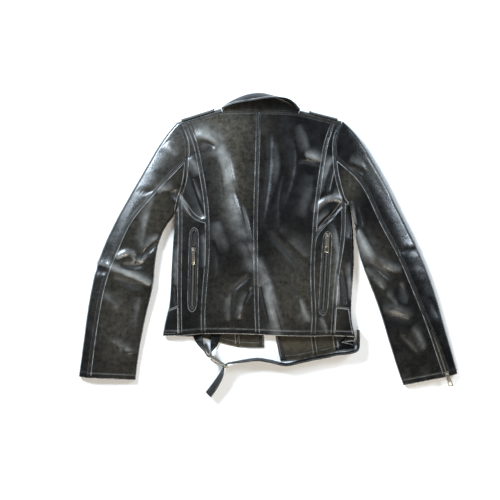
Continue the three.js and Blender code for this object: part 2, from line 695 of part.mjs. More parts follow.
// The collar's two ends lie along the necklines of the fronts.
function collarEnd(name, s, edge, from, to) {
  const rise = shoulderRise(s);
  const grid = [];
  for (let i = 0; i <= 6; i++) {
    const t = mix(from, to, i / 6);
    const along = inPlan(edge(t + 0.002).sub(edge(t - 0.002)));
    const inward = at(along.y, -along.x).multiplyScalar(-s.side);
    grid.push([0, 1 / 3, 2 / 3, 1].map((u) => {
      const p = edge(t).addScaledVector(inward, SEAM_GAP + u * COLLAR_END);
      return p.setZ(rise(p.clone().setZ(s.armTip.z)));
    }));
  }
  add(name, wall(lifted(grid, LEATHER), grid), "leather");
}
collarEnd("collar_end_left", left, frontEdge.left, 0.8, 0.985);
collarEnd("collar_end_right", right, frontEdge.right, 0.85, 0.985);

// ---- Zips ----

// A tape along a line, with the closed teeth as a rib along part of it.
function zipTape(name, line, width, heightAt, chain) {
  const half = ZIP.chain / 2;
  const columns = [-width / 2, -half - 0.5, -half, half, half + 0.5, width / 2];
  const along = inPlan(line(1).sub(line(0)));
  const square = at(along.y, -along.x);
  const [upper, lower] = [[], []];
  for (let i = 0; i <= 9; i++) {
    const t = i / 9;
    const rib = t >= chain[0] && t <= chain[1] ? ZIP.chainHeight : 0;
    const place = (d, z) => line(t).setZ(heightAt(t, d) + z).addScaledVector(square, d);
    upper.push(columns.map((d) => place(d, ZIP.tapeThick + (Math.abs(d) <= half ? rib : 0))));
    lower.push(columns.map((d) => place(d, 0)));
  }
  add(name, wall(upper, lower), "tape");
}

// The slider lies lengthwise along Y on z = 0, with an arch over its middle for the pull.
function sliderGeometry() {
  const body = new THREE.BoxGeometry(SLIDER.width, SLIDER.length, SLIDER.height).translate(0, 0, SLIDER.height / 2);
  const arch = new THREE.Shape();
  const foot = Math.asin((SLIDER.axis + 0.4) / SLIDER.archOut);
  arch.absarc(0, 0, SLIDER.archOut, -foot, Math.PI + foot, false);
  const hole = new THREE.Path();
  hole.absarc(0, 0, SLIDER.archHole, 0, 2 * Math.PI, true);
  arch.holes.push(hole);
  const swept = new THREE.ExtrudeGeometry(arch, { depth: SLIDER.bridge, bevelEnabled: false, curveSegments: 8 });
  swept.translate(0, 0, -SLIDER.bridge / 2);
  swept.rotateX(Math.PI / 2).rotateZ(Math.PI / 2);
  swept.translate(0, 0, SLIDER.height + SLIDER.axis);
  return geometryOf(solid(body).add(solid(swept)));
}

// The pull lies in its own XY plane and hangs from a bar at its origin, towards -Y.
function pullGeometry({ length, top, bottom, holeLength }) {
  const bar = PULL.bar / 2;
  const corner = PULL.corner;
  const point = (x, y) => new THREE.Vector2(x, y);
  const outline = new THREE.Shape([
    point(-top / 2, bar), point(-bottom / 2, corner - length), point(corner - bottom / 2, -length),
    point(bottom / 2 - corner, -length), point(bottom / 2, corner - length), point(top / 2, bar),
  ]);
  const window = (width, from, to) => new THREE.Path([
    point(-width / 2, from), point(width / 2, from), point(width / 2, to), point(-width / 2, to),
  ]);
  outline.holes.push(window(PULL.slot, -bar, -PULL.slotEnd));
  if (holeLength) outline.holes.push(window(bottom * 0.45, 3 - length + holeLength, 3 - length));
  const plate = new THREE.ExtrudeGeometry(outline, { depth: PULL.thick, bevelEnabled: false });
  return plate.translate(0, 0, -PULL.thick / 2);
}

// A slider with its pull at a place on a line, facing along it, with its base at a height.
function sliderAndPull(suffix, place, along, base, pull) {
  const seat = new THREE.Group();
  seat.position.copy(place).setZ(base);
  seat.rotation.z = Math.atan2(along.y, along.x) - Math.PI / 2;
  jacket.add(seat);
  add("slider_" + suffix, sliderGeometry(), "metal", seat);
  const tab = add("pull_" + suffix, pullGeometry(pull), "metal", seat);
  tab.position.z = SLIDER.height + SLIDER.axis;
  tab.rotation.x = THREE.MathUtils.degToRad(PULL.rest);
}

const UNDER_LEATHER = LEATHER + OVERLAY_GAP + ZIP.drop;

function sideZip(suffix, line, beside, chain, sliderAt, pull) {
  const long = (t) => mix(-0.015, 1.015, t);
  const tapeLine = (t) => line(0).lerp(line(1), long(t));
  zipTape("zip_tape_" + suffix, tapeLine, ZIP.tape, (t, d) => beside(long(t), d) - UNDER_LEATHER - ZIP.tapeThick, chain);
  const base = beside(sliderAt, 0) - UNDER_LEATHER + ZIP.chainHeight + OVERLAY_GAP;
  sliderAndPull(suffix, line(sliderAt), line(1).sub(line(0)), base, pull);
}
sideZip("left", zipLine.left, besideZip.left, [0.1, 0.7], 0.74, { length: 34, top: 7, bottom: 8.5, holeLength: 0 });
sideZip("right", zipLine.right, besideZip.right, [0.1, 0.92], 0.965, { length: 39, top: 7, bottom: 11, holeLength: 9 });

// The cuff zip lies under the vent of the right sleeve's hind seam.
const cuffLine = (t) => hindRight(mix(CUFF_ZIP.from, CUFF_ZIP.to, t));
const cuffHeight = (t) => cuffLine(t).z - UNDER_LEATHER - ZIP.tapeThick;
zipTape("zip_tape_cuff", cuffLine, CUFF_ZIP.tape, cuffHeight, [0.1, 0.8]);
const cuffEnd = cuffLine(0.9);
sliderAndPull("cuff", cuffEnd, cuffLine(0.8).sub(cuffLine(1)), cuffEnd.z + 2 * OVERLAY_GAP, {
  length: 31, top: 7, bottom: 12, holeLength: 8,
});

// The two halves of the front zip, along the inside of the fronts' edges.
function frontZip(name, rows) {
  const line = seam(rows);
  const [lower, upper] = [[], []];
  for (let i = 0; i <= 10; i++) {
    const row = (z) => [-5, 5].map((d) => line(i / 10).add(at(d, 0, LEATHER + OVERLAY_GAP + z)));
    lower.push(row(0));
    upper.push(row(ZIP.tapeThick + 0.4));
  }
  add(name, wall(upper, lower), "tape");
}
frontZip("front_zip_left", [[-16, -236, 0], [-16, -120, 0], [-15, 20, 0], [-15, 140, 0]]);
frontZip("front_zip_right", [[35, -266, 0], [21, -205, 0], [17, -90, 0], [16, 140, 0]]);

// ---- Belt: on its edge along the fronts' hem, through the buckle, and a free tail ----

const buckle = new THREE.Group();
buckle.position.set(BUCKLE.x, BUCKLE.y, BUCKLE.lift + BUCKLE.height / 2);
buckle.rotation.z = THREE.MathUtils.degToRad(BUCKLE.angle);
jacket.add(buckle);
buckle.updateMatrixWorld();

const rectangle = (width, height) => [
  new THREE.Vector2(-width / 2, -height / 2), new THREE.Vector2(width / 2, -height / 2),
  new THREE.Vector2(width / 2, height / 2), new THREE.Vector2(-width / 2, height / 2),
];
function frameGeometry() {
  const outline = new THREE.Shape(rectangle(BUCKLE.length, BUCKLE.height));
  outline.holes.push(new THREE.Path(rectangle(BUCKLE.length - 2 * BUCKLE.bar, BUCKLE.height - 2 * BUCKLE.bar)));
  const frame = new THREE.ExtrudeGeometry(outline, { depth: BUCKLE.thick, bevelEnabled: false });
  return frame.translate(0, 0, -BUCKLE.thick / 2).rotateX(Math.PI / 2);
}
add("buckle_frame", frameGeometry(), "metal", buckle);

// The prong bows out beside the frame and rests on its far bar. Its rows are x, y in the buckle's own frame.
function prong(side) {
  const rows = [[-17, -6.5], [-8, -7.6], [6, -6.4], [20, -4.2], [28, -3.3]];
  return ribbon(rows.map(([x, y]) => [x, y, -side / 2, 0]), side, side);
}
add("buckle_prong", prong(PRONG.side), "metal", buckle);

const beltStrap = ribbon([
  // x, y, lift, lean
  [207, -196, 0, 88], [207.5, -222, 0, 86], [204.5, -243, 0, 86], [186, -249.5, 0, 84], [156, -252.5, 0, 84],
  [134, -258, 0, 82], [109, -262.3, 0, 82], [72, -270.3, 0, 82], [40, -277, 0, 82], [8, -270, 0, 82], [-24, -265, 0, 82],
  [-54, -268, 1, 84], [-80, -271.5, 4, 88], [-93, -273.5, 5, 90], [-100, -278.5, 5, 90], [-104.5, -287, 5, 84],
  [-110, -303, 3, 68], [-125, -328, 0.2, 58], [-139, -347, 0.2, 54],
], BELT.width, BELT.thick);
const prongHole = prong(PRONG.side + 2 * PRONG.clearance).applyMatrix4(buckle.matrixWorld);
add("belt", geometryOf(solid(beltStrap).subtract(solid(prongHole))), "leather");

// One strap, looped round the buckle's near bar, with both its ends under the left front's hem facing.
add("buckle_strap", ribbon([
  // x, y, lift, lean
  [-168, -200, 2.2, 6], [-161, -219, 2.2, 22], [-152, -237, 4, 62], [-144.7, -250, 7.5, 88], [-139.4, -257, 7.5, 90],
  [-134.9, -258.2, 7.5, 90], [-132, -254.5, 7.5, 90], [-132.4, -249, 7.5, 88], [-128.5, -238, 4, 60],
  [-124, -224, 2.2, 20], [-119, -206, 2.2, 6],
], BUCKLE_STRAP, STRAP), "leather");

export default jacket;
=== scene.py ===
import math

import bmesh
import bpy
import numpy as np
from mathutils import Matrix, Vector, noise
from mathutils.bvhtree import BVHTree
from mathutils.kdtree import KDTree


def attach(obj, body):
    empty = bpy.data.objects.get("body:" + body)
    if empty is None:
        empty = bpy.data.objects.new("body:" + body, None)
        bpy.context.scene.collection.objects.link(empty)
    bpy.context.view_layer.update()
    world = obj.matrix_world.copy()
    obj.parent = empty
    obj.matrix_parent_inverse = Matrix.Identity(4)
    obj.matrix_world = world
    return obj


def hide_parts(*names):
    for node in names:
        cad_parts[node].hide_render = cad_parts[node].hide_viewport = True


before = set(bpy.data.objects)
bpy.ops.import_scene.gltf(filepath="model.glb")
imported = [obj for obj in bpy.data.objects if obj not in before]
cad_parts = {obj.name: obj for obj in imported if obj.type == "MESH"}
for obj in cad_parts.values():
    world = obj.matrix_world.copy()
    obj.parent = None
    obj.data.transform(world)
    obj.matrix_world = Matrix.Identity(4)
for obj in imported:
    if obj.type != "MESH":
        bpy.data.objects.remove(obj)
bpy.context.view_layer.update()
MM = 0.001

# ---- Camera, floor and light ----
# The jacket is laid on a white table and seen from straight above, collar up, in soft cool daylight
# that comes from beyond the collar and from the left.

CAMERA_CENTRE = Vector((-42.6, -12.7, 20)) * MM
VIEW_WIDTH = 1.15
LENS, SENSOR = 100, 36
TABLE_TOP = -0.4 * MM

camera = bpy.data.objects.new("camera", bpy.data.cameras.new("camera"))
camera.data.lens = LENS
camera.data.sensor_width = SENSOR
camera.location = CAMERA_CENTRE + Vector((0, 0, VIEW_WIDTH * LENS / SENSOR))
bpy.context.collection.objects.link(camera)
bpy.context.scene.camera = camera
bpy.context.scene.view_settings.view_transform = "Standard"


def softbox(name, place, width, power, colour):
    """A square light of this width that faces the middle of the table."""
    lamp = bpy.data.lights.new(name, "AREA")
    lamp.size = width
    lamp.energy = power
    lamp.color = colour
    holder = bpy.data.objects.new(name, lamp)
    holder.location = place
    holder.rotation_euler = (Vector((0, 0, 0)) - Vector(place)).to_track_quat("-Z", "Y").to_euler()
    bpy.context.collection.objects.link(holder)


softbox("window", (-1.5, 1.5, 1.5), 0.8, 150, (0.74, 0.87, 1.0))
softbox("window_right", (1.7, 0.9, 1.3), 0.6, 32, (0.76, 0.88, 1.0))
softbox("room", (0.3, -2.0, 1.6), 1.2, 52, (1.0, 0.93, 0.82))
world = bpy.data.worlds.new("pale room")
world.use_nodes = True
world.node_tree.nodes["Background"].inputs["Color"].default_value = (0.95, 0.97, 1.0, 1)
world.node_tree.nodes["Background"].inputs["Strength"].default_value = 0.06
bpy.context.scene.world = world

floor_shape = bmesh.new()
bmesh.ops.create_grid(floor_shape, x_segments=1, y_segments=1, size=6)
bmesh.ops.translate(floor_shape, verts=floor_shape.verts, vec=(0, 0, TABLE_TOP))
floor_mesh = bpy.data.meshes.new("table")
floor_shape.to_mesh(floor_mesh)
floor_shape.free()
table = bpy.data.objects.new("table", floor_mesh)
bpy.context.collection.objects.link(table)
paper = bpy.data.materials.new("white table")
paper.use_nodes = True
paper.node_tree.nodes["Principled BSDF"].inputs["Base Color"].default_value = (0.93, 0.93, 0.93, 1)
paper.node_tree.nodes["Principled BSDF"].inputs["Roughness"].default_value = 0.8
table.data.materials.append(paper)

# ---- Leather ----
# Waxed sheep leather, dyed charcoal over a brown crust. It is rubbed pale along the seams and on the folds, which
# also carry painted highlights, and painted shade darkens the seam grooves and the hollows of folds. The brown
# shows where the dye has worn thin. The lining is glued in, so each panel is one thin wall.

LEATHER = 1.6 * MM
STRAP = 1.8 * MM


def put(tree, kind, values=(), **settings):
    """A node with its settings, and its sockets given a value or linked to another node's output."""
    made = tree.nodes.new(kind)
    for key, value in settings.items():
        setattr(made, key, value)
    for socket, value in dict(values).items():
        if isinstance(value, bpy.types.NodeSocket):
            tree.links.new(value, made.inputs[socket])
        else:
            made.inputs[socket].default_value = value
    return made


def blend_colour(tree, share, first, second):
    """Sockets 0, 6 and 7 of a colour Mix are its share and its two colours, and output 2 is its result."""
    return put(tree, "ShaderNodeMix", {0: share, 6: first, 7: second}, data_type="RGBA").outputs[2]


def sums(tree, operation, first, second, clamp=False):
    return put(tree, "ShaderNodeMath", {0: first, 1: second}, operation=operation, use_clamp=clamp).outputs[0]


def between(tree, value, low, high, start=0.0, end=1.0):
    return put(tree, "ShaderNodeMapRange", {0: value, 1: low, 2: high, 3: start, 4: end}).outputs[0]


def shader_group(name, inputs, outputs):
    tree = bpy.data.node_groups.new(name, "ShaderNodeTree")
    for label in inputs:
        tree.interface.new_socket(label, in_out="INPUT", socket_type="NodeSocketFloat")
    for label in outputs:
        tree.interface.new_socket(label, in_out="OUTPUT", socket_type="NodeSocketFloat")
    return tree, tree.nodes.new("NodeGroupInput"), tree.nodes.new("NodeGroupOutput")


# The pebbled grain of the skin with the fine wrinkles that wear leaves in it.
grain_group, grain_in, grain_out = shader_group("leather grain", ["Size"], ["Height"])
spot = put(grain_group, "ShaderNodeTexCoord").outputs["Object"]
warp = put(grain_group, "ShaderNodeTexNoise", {"Vector": spot, "Scale": 90, "Detail": 3})
bent = put(grain_group, "ShaderNodeVectorMath", {0: warp.outputs["Color"], 1: (0.004, 0.004, 0.004)},
           operation="MULTIPLY")
moved = put(grain_group, "ShaderNodeVectorMath", {0: spot, 1: bent.outputs[0]}, operation="ADD")
pebble = put(grain_group, "ShaderNodeTexVoronoi",
             {"Vector": moved.outputs[0], "Scale": grain_in.outputs["Size"]}, feature="DISTANCE_TO_EDGE")
pebbles = between(grain_group, pebble.outputs["Distance"], 0.0, 0.25)
wrinkle = put(grain_group, "ShaderNodeTexNoise",
              {"Vector": moved.outputs[0], "Scale": 150, "Detail": 5, "Roughness": 0.65, "Distortion": 0.8})
raised = sums(grain_group, "MULTIPLY", pebbles, 0.35)
total = sums(grain_group, "ADD", raised, wrinkle.outputs["Fac"])
grain_group.links.new(total, grain_out.inputs["Height"])

# Pale lines on the ridge beside a seam, where the dye is rubbed off and a painted highlight is laid on, and along
# the hem;
# painted highlight on top of folds, partly rubbed wear too; near-black painted shade in the seam's groove and in
# the hollows of folds, and a dark line along the hem's stitches. Edge and Hem are the millimetres from a cut edge
# and from a hem's edge.
wear_and_painted_light_group, wear_and_light_in, wear_and_light_out = shader_group("rubbed", ["Edge", "Hem", "Rub_and_highlight", "Fold"], ["Light", "Dark"])
spot = put(wear_and_painted_light_group, "ShaderNodeTexCoord").outputs["Object"]
patches = put(wear_and_painted_light_group, "ShaderNodeTexNoise", {"Vector": spot, "Scale": 48, "Detail": 6, "Roughness": 0.7})
patchy = patches.outputs["Fac"]
streaks = put(wear_and_painted_light_group, "ShaderNodeTexNoise", {"Vector": spot, "Scale": 15, "Detail": 4, "Roughness": 0.6})
streaky = streaks.outputs["Fac"]
RIDGE, RIDGE_WIDTH = 4.2, 1.1  # mm in from a cut edge
HEM_ROW = 13.8  # mm up from a hem, where its stitches run
HEM_RIDGE = HEM_ROW - 2.2


def line_at(measure, distance, reach):
    """A soft line that lies this far from an edge."""
    off = sums(wear_and_painted_light_group, "ABSOLUTE", sums(wear_and_painted_light_group, "SUBTRACT", wear_and_light_in.outputs[measure], distance), 0.0)
    return between(wear_and_painted_light_group, off, 0.0, reach, 1.0, 0.0)


# How strongly the pale ridge lines show, in patches: rubbed wear with a painted highlight on the seam ridges.
wear_and_highlight = sums(wear_and_painted_light_group, "MULTIPLY", wear_and_light_in.outputs["Rub_and_highlight"], between(wear_and_painted_light_group, patchy, 0.36, 0.58, 0.2, 1.0))
clear_of_hem = between(wear_and_painted_light_group, wear_and_light_in.outputs["Hem"], 5.5, 8.0)
seam_ridge = sums(wear_and_painted_light_group, "MULTIPLY", line_at("Edge", RIDGE, RIDGE_WIDTH), clear_of_hem)
ridge = sums(wear_and_painted_light_group, "MULTIPLY", wear_and_highlight, seam_ridge)
faint_line = sums(wear_and_painted_light_group, "MULTIPLY", line_at("Hem", HEM_RIDGE, 1.5), 0.35)
hem_ridge = sums(wear_and_painted_light_group, "MAXIMUM", line_at("Hem", 0.4, 1.6), faint_line)
ridge = sums(wear_and_painted_light_group, "ADD", ridge, sums(wear_and_painted_light_group, "MULTIPLY", wear_and_highlight, hem_ridge))
# Painted highlight in streaks along the tops of folds, partly rubbed wear too.
streaked = between(wear_and_painted_light_group, streaky, 0.34, 0.66, 0.06, 0.55)
on_fold = sums(wear_and_painted_light_group, "MULTIPLY", wear_and_light_in.outputs["Fold"], streaked)
on_fold = sums(wear_and_painted_light_group, "MULTIPLY", on_fold, between(wear_and_painted_light_group, patchy, 0.3, 0.7, 0.6, 1.0), True)
wear_and_painted_light_group.links.new(sums(wear_and_painted_light_group, "ADD", ridge, on_fold, True), wear_and_light_out.inputs["Light"])
# Near-black painted shade in the seam's groove and the hollows of folds, and a dark line along the hem's stitch
# row.
near_edge = between(wear_and_painted_light_group, wear_and_light_in.outputs["Edge"], 0.4, 2.6, 1.0, 0.0)
groove = sums(wear_and_painted_light_group, "MULTIPLY", near_edge, clear_of_hem)
hem_row = sums(wear_and_painted_light_group, "MULTIPLY", line_at("Hem", HEM_ROW, 1.5), 0.9)
hollow = sums(wear_and_painted_light_group, "MULTIPLY", wear_and_light_in.outputs["Fold"], -0.8, True)
deep = sums(wear_and_painted_light_group, "MAXIMUM", sums(wear_and_painted_light_group, "MAXIMUM", groove, hem_row), hollow)
wear_and_painted_light_group.links.new(deep, wear_and_light_out.inputs["Dark"])


def leather(name, dark, worn, brown, rough, shine):
    """A leather finish with its dyed colour, its worn colour for rubbed wear and painted highlights, near-black
    painted shade in grooves and hollows, and the crust under the dye.
    """
    made = bpy.data.materials.new(name)
    made.use_nodes = True
    tree = made.node_tree
    shader = tree.nodes["Principled BSDF"]
    shader.inputs["Specular IOR Level"].default_value = shine
    place = put(tree, "ShaderNodeTexCoord").outputs["Object"]
    masks = {}
    for key in ("edge", "hem", "rub_and_highlight", "fold", "brown"):
        masks[key] = put(tree, "ShaderNodeAttribute", attribute_name=key).outputs["Fac"]
    clouds = put(tree, "ShaderNodeTexNoise", {"Vector": place, "Scale": 11, "Detail": 6, "Roughness": 0.62})
    blots = put(tree, "ShaderNodeTexNoise", {"Vector": place, "Scale": 38, "Detail": 7, "Roughness": 0.7})
    specks = put(tree, "ShaderNodeTexNoise", {"Vector": place, "Scale": 95, "Detail": 7, "Roughness": 0.75})
    deep = [channel * 0.25 for channel in dark[:3]] + [1]
    dyed = blend_colour(tree, between(tree, clouds.outputs["Fac"], 0.32, 0.68), deep, dark)
    spotted = sums(tree, "MULTIPLY", masks["brown"], between(tree, specks.outputs["Fac"], 0.3, 0.68), True)
    crust = blend_colour(tree, spotted, dyed, brown)
    rubbed = put(tree, "ShaderNodeGroup", node_tree=wear_and_painted_light_group)
    for key in ("edge", "hem", "rub_and_highlight", "fold"):
        tree.links.new(masks[key], rubbed.inputs[key.capitalize()])
    # Painted shade takes the crust to near black in the seam grooves and fold hollows, then the worn colour goes on
    # the ridges and fold tops as rubbed wear and painted highlight.
    with_painted_shade = blend_colour(tree, rubbed.outputs["Dark"], crust, (0.002, 0.002, 0.002, 1))
    tree.links.new(blend_colour(tree, rubbed.outputs["Light"], with_painted_shade, worn), shader.inputs["Base Color"])
    gloss = between(tree, blots.outputs["Fac"], 0.3, 0.7, rough - 0.07, rough + 0.1)
    dulled = sums(tree, "MULTIPLY", rubbed.outputs["Dark"], 0.3)
    tree.links.new(sums(tree, "ADD", gloss, dulled, True), shader.inputs["Roughness"])
    grain = put(tree, "ShaderNodeGroup", {"Size": 620}, node_tree=grain_group)
    fine = put(tree, "ShaderNodeBump", {"Height": grain.outputs["Height"], "Strength": 0.22, "Distance": 0.0003})
    soft = put(tree, "ShaderNodeBump", {"Height": blots.outputs["Fac"], "Normal": fine.outputs[0],
                                        "Strength": 0.35, "Distance": 0.0015})
    tree.links.new(soft.outputs[0], shader.inputs["Normal"])
    return made


# Each worn colour is the pale of rubbed wear and also the colour of the painted highlights.
charcoal = leather("charcoal leather", dark=(0.0032, 0.0032, 0.0033, 1), worn=(0.5, 0.5, 0.48, 1),
                   brown=(0.078, 0.068, 0.05, 1), rough=0.27, shine=0.66)
inside_leather = leather("facing leather", dark=(0.013, 0.0105, 0.0065, 1), worn=(0.34, 0.3, 0.22, 1),
                         brown=(0.055, 0.043, 0.024, 1), rough=0.42, shine=0.45)

# ---- Folds of the body and the sleeves ----
# How the leather creases when the jacket is laid down: a drag line from the left shoulder to the hem, slack
# beside the centre back, pulls from the underarms and the zips, and the crush at both elbows.

BODY_FOLDS = [
    # start x, y, middle x, y, end x, y, height, half width, in mm; a trough has a negative height
    (-166, 246, -138, 246, -108, 222, 3.0, 12),
    (-160, 231, -140, 230, -124, 222, -1.8, 6),
    (-118, 236, -92, 175, -82, 100, 3.3, 14),
    (-92, 140, -66, 55, -22, -70, 3.2, 12),
    (-122, 205, -112, 150, -110, 95, -2.0, 13),
    (-74, 96, -60, 48, -44, 0, -1.7, 4.5),
    (-60, 90, -48, 45, -36, -6, 1.8, 5),
    (-26, -30, 2, -110, 28, -214, 3.0, 12),
    (2, 256, 3, 170, -14, 50, -2.4, 7),
    (14, 235, 20, 170, 12, 90, 0.8, 9),
    (31, 250, 58, 197, 30, 80, -1.5, 9),
    (66, 188, 96, 186, 124, 175, -2.8, 3.6),
    (84, 203, 102, 201, 122, 190, 2.4, 7),
    (70, 276, 80, 248, 90, 214, 0.9, 9),
    (100, 160, 92, 110, 78, 60, 0.7, 11),
    (-180, 200, -170, 182, -158, 160, 2.2, 8),
    (-188, 165, -170, 110, -150, 60, -4.6, 9),
    (-174, 150, -160, 110, -147, 72, 1.6, 6),
    (-214, 122, -204, 112, -176, 62, 2.6, 4),
    (106, 72, 136, 104, 176, 97, 3.6, 7),
    (120, 44, 146, 68, 172, 90, -3.6, 5),
    (112, 96, 132, 112, 150, 116, -2.0, 5),
    (120, 112, 132, 160, 148, 202, 1.8, 7),
    (134, 100, 144, 150, 152, 180, -1.6, 5),
    (-38, -68, -66, -92, -100, -122, -1.9, 6),
    (-34, -98, -48, -122, -62, -146, -2.4, 4),
    (-44, -108, -58, -134, -68, -170, 2.6, 5),
    (-82, -108, -90, -140, -92, -176, 1.7, 6),
    (-74, -90, -80, -120, -80, -160, -1.6, 5),
    (-19, -92, -12, -135, 0, -182, -3.2, 4.5),
    (-9, -100, 4, -140, 17, -190, 3.2, 6),
    (40, -46, 58, -100, 72, -160, -2.0, 9),
    (66, -118, 80, -145, 94, -178, 1.8, 7),
    (-2, 30, 42, -18, 82, -68, -2.6, 11),
    (20, 40, 52, 6, 92, -30, 0.9, 10),
    (-118, 54, -108, 20, -94, -18, 0.9, 12),
    (-132, 10, -122, -30, -124, -80, -1.5, 8),
    (144, 50, 160, -12, 155, -64, 2.2, 5),
    (110, 28, 130, 50, 156, 62, -2.6, 4),
    (108, 40, 126, 62, 150, 74, 2.2, 5),
    (166, -58, 176, -98, 178, -140, -3.6, 6),
    (184, 80, 188, 50, 186, 14, -2.4, 6),
    (156, -60, 162, -100, 160, -140, 2.2, 6),
    (184, -40, 188, -90, 186, -130, 1.6, 5),
    (-216, -94, -214, -124, -210, -156, -3.4, 4),
    (-208, 0, -212, -60, -210, -110, 1.4, 5),
    (118, -168, 128, -182, 136, -202, 1.6, 4),
    (-150, 24, -146, -10, -147, -56, 1.2, 4),
    (-84, 150, -66, 92, -52, 38, -1.5, 3.5),
    (-64, 44, -50, 0, -30, -52, -1.6, 3.5),
    (-102, 208, -91, 170, -84, 128, -1.1, 3.5),
    (4, -108, 17, -150, 33, -206, -1.7, 4),
    (-134, 250, -118, 240, -108, 226, -1.1, 3),
    (24, 30, 20, 100, 34, 160, -1.4, 6),
]
SLEEVE_FOLDS = [
    (-236, 232, -222, 216, -208, 202, 2.2, 8),
    (-262, 112, -282, 50, -290, -18, 1.9, 7),
    (-300, 128, -284, 118, -262, 126, -1.4, 4),
    (-256, 118, -238, 128, -218, 130, 1.8, 6),
    (-216, 124, -212, 112, -206, 102, -3.4, 6),
    (-352, -34, -322, -20, -304, -38, 4.2, 4.5),
    (-306, -38, -292, -36, -274, -20, 3.8, 4.5),
    (-340, -48, -312, -52, -288, -48, -3.4, 7),
    (-296, -34, -276, -18, -254, 2, -4.6, 5),
    (-288, -14, -272, 2, -252, 20, 2.4, 6),
    (-388, -42, -330, -66, -266, -92, 3.6, 6),
    (-358, -80, -326, -92, -290, -104, -2.8, 6),
    (-404, -60, -386, -64, -366, -62, -2.6, 4.5),
    (-404, -40, -388, -44, -368, -42, 2.0, 5),
    (-378, -110, -362, -130, -344, -150, 1.5, 8),
    (-296, -120, -302, -156, -310, -196, 1.5, 7),
    (-368, -226, -340, -250, -306, -266, -2.0, 4.5),
    (-366, -214, -338, -236, -304, -250, 1.7, 5),
    (-410, -170, -400, -200, -396, -240, -1.4, 6),
    (-330, -170, -350, -200, -362, -214, -1.2, 6),
    (193, 100, 196, 74, 202, 44, 2.6, 5),
    (206, 84, 212, 66, 216, 40, -2.2, 5),
    (204, 32, 220, 2, 243, -38, 3.0, 10),
    (222, 44, 240, 10, 254, -10, -1.8, 7),
    (222, -54, 244, -78, 267, -99, 2.4, 6),
    (232, -44, 258, -62, 284, -84, -2.6, 5),
    (250, -30, 276, -52, 306, -58, 2.2, 6),
    (298, -92, 312, -112, 314, -138, -3.2, 8),
    (262, -150, 292, -150, 328, -166, 1.6, 7),
    (276, -170, 300, -172, 326, -182, -2.0, 6),
    (270, -112, 284, -122, 296, -140, 1.8, 5),
    (184, 174, 200, 168, 216, 160, -3.0, 5),
    (186, 192, 204, 186, 222, 172, 1.6, 6),
    (218, 208, 252, 156, 286, 98, 1.5, 7),
    (300, -20, 324, -16, 352, -12, -2.0, 4),
    (302, -8, 326, -4, 350, 0, 1.6, 5),
    (314, -58, 332, -54, 352, -46, -1.9, 4),
    (372, -128, 382, -148, 392, -166, -1.5, 6),
    (330, -190, 348, -214, 360, -240, 1.3, 7),
    (300, -210, 322, -232, 350, -262, -1.2, 6),
]
# Worn brown: centre x, y and the reach along x and y, in mm.
BROWN_PATCHES = [
    (-112, 275, 92, 58, 0.95), (-80, 150, 48, 90, 0.75), (-100, -120, 60, 70, 0.35), (60, -110, 62, 95, 0.7),
    (150, -90, 30, 90, 0.6), (246, -42, 40, 70, 0.5), (184, 138, 24, 34, 0.7), (-265, 80, 70, 120, 0.6),
    (-345, -180, 60, 150, 0.55), (-215, 220, 50, 60, 0.35), (240, 190, 40, 50, 0.2),
]
FOLD_DEPTH = 1.35
GENTLE_WAY = np.array([-0.6, 0.8])  # the side on which a fold runs out gently; the other side is steep
LAYER_Z = 6 * MM  # below this is the underside, which lies flat and has no folds


def crease_height(points, rows):
    """The height that the folds add at each point, in metres. Each fold is a bend through three points."""
    plan = points[:, :2] / MM
    ridges, troughs = np.zeros(len(points)), np.zeros(len(points))
    share = np.linspace(0, 1, 11)[:, None]
    for x0, y0, xm, ym, x1, y1, rise, width in rows:
        start, middle, end = np.array([x0, y0]), np.array([xm, ym]), np.array([x1, y1])
        pull = 2 * middle - (start + end) / 2
        line = (1 - share) ** 2 * start + 2 * share * (1 - share) * pull + share ** 2 * end
        close = np.all((plan > line.min(0) - 3 * width) & (plan < line.max(0) + 3 * width), axis=1)
        if not close.any():
            continue
        near = plan[close]
        away, along, lean = np.full(len(near), 1e9), np.zeros(len(near)), np.zeros(len(near))
        for k in range(10):
            step = line[k + 1] - line[k]
            t = np.clip((near - line[k]) @ step / (step @ step), 0, 1)
            offset = near - line[k] - t[:, None] * step
            gap = np.hypot(*offset.T)
            closer = gap < away
            away[closer], along[closer] = gap[closer], ((k + t) / 10)[closer]
            lean[closer] = np.clip(offset[closer] @ GENTLE_WAY / (0.35 * width), -1, 1)
        fade = np.clip(4 * along * (1 - along), 0, 1) ** 0.6
        lift = FOLD_DEPTH * rise * MM * np.exp(-(away / (width * (1.0 + 0.42 * lean))) ** 1.5) * fade
        if rise > 0:
            ridges[close] = np.maximum(ridges[close], lift)
        else:
            troughs[close] = np.minimum(troughs[close], lift)
    return ridges + troughs


# ---- The leather panels ----
# Each panel is cut from one skin and sewn to its neighbours. Its edges turn down into the seams, and the ones
# that lie on top stand a little proud, where they are rubbed pale and carry a painted highlight. The seam grooves
# get painted shade.

HEM_Y = -200 * MM
SHOULDER_Y = 250 * MM  # above this the seams are tucked under the straps and the collar, and stay dark
NECK_Y = 310 * MM
NECK_TUCK = (0, -3.2 * MM, -1.6 * MM)  # the collar's lower edge goes under the back
CORNER_ANGLE = math.radians(142)
STITCH_ROW = 2.8 * MM  # how far in from a cut edge the first row of stitches is
SEAM_BAND = 2.0 * MM  # the strip along a cut edge that is shaped more finely
TURN, TURN_DEPTH = 2.2 * MM, 0.95 * MM  # how wide a strip turns down into the seam, and how deep
STITCH_PULL, STITCH_REACH = 0.28 * MM, 0.8 * MM  # how deep and how wide the thread draws the leather in
PROUD_REACH = 5.5 * MM
PUCKER_REACH = 6 * MM
LOWEST = 0.2 * MM  # no panel goes nearer to the table than this


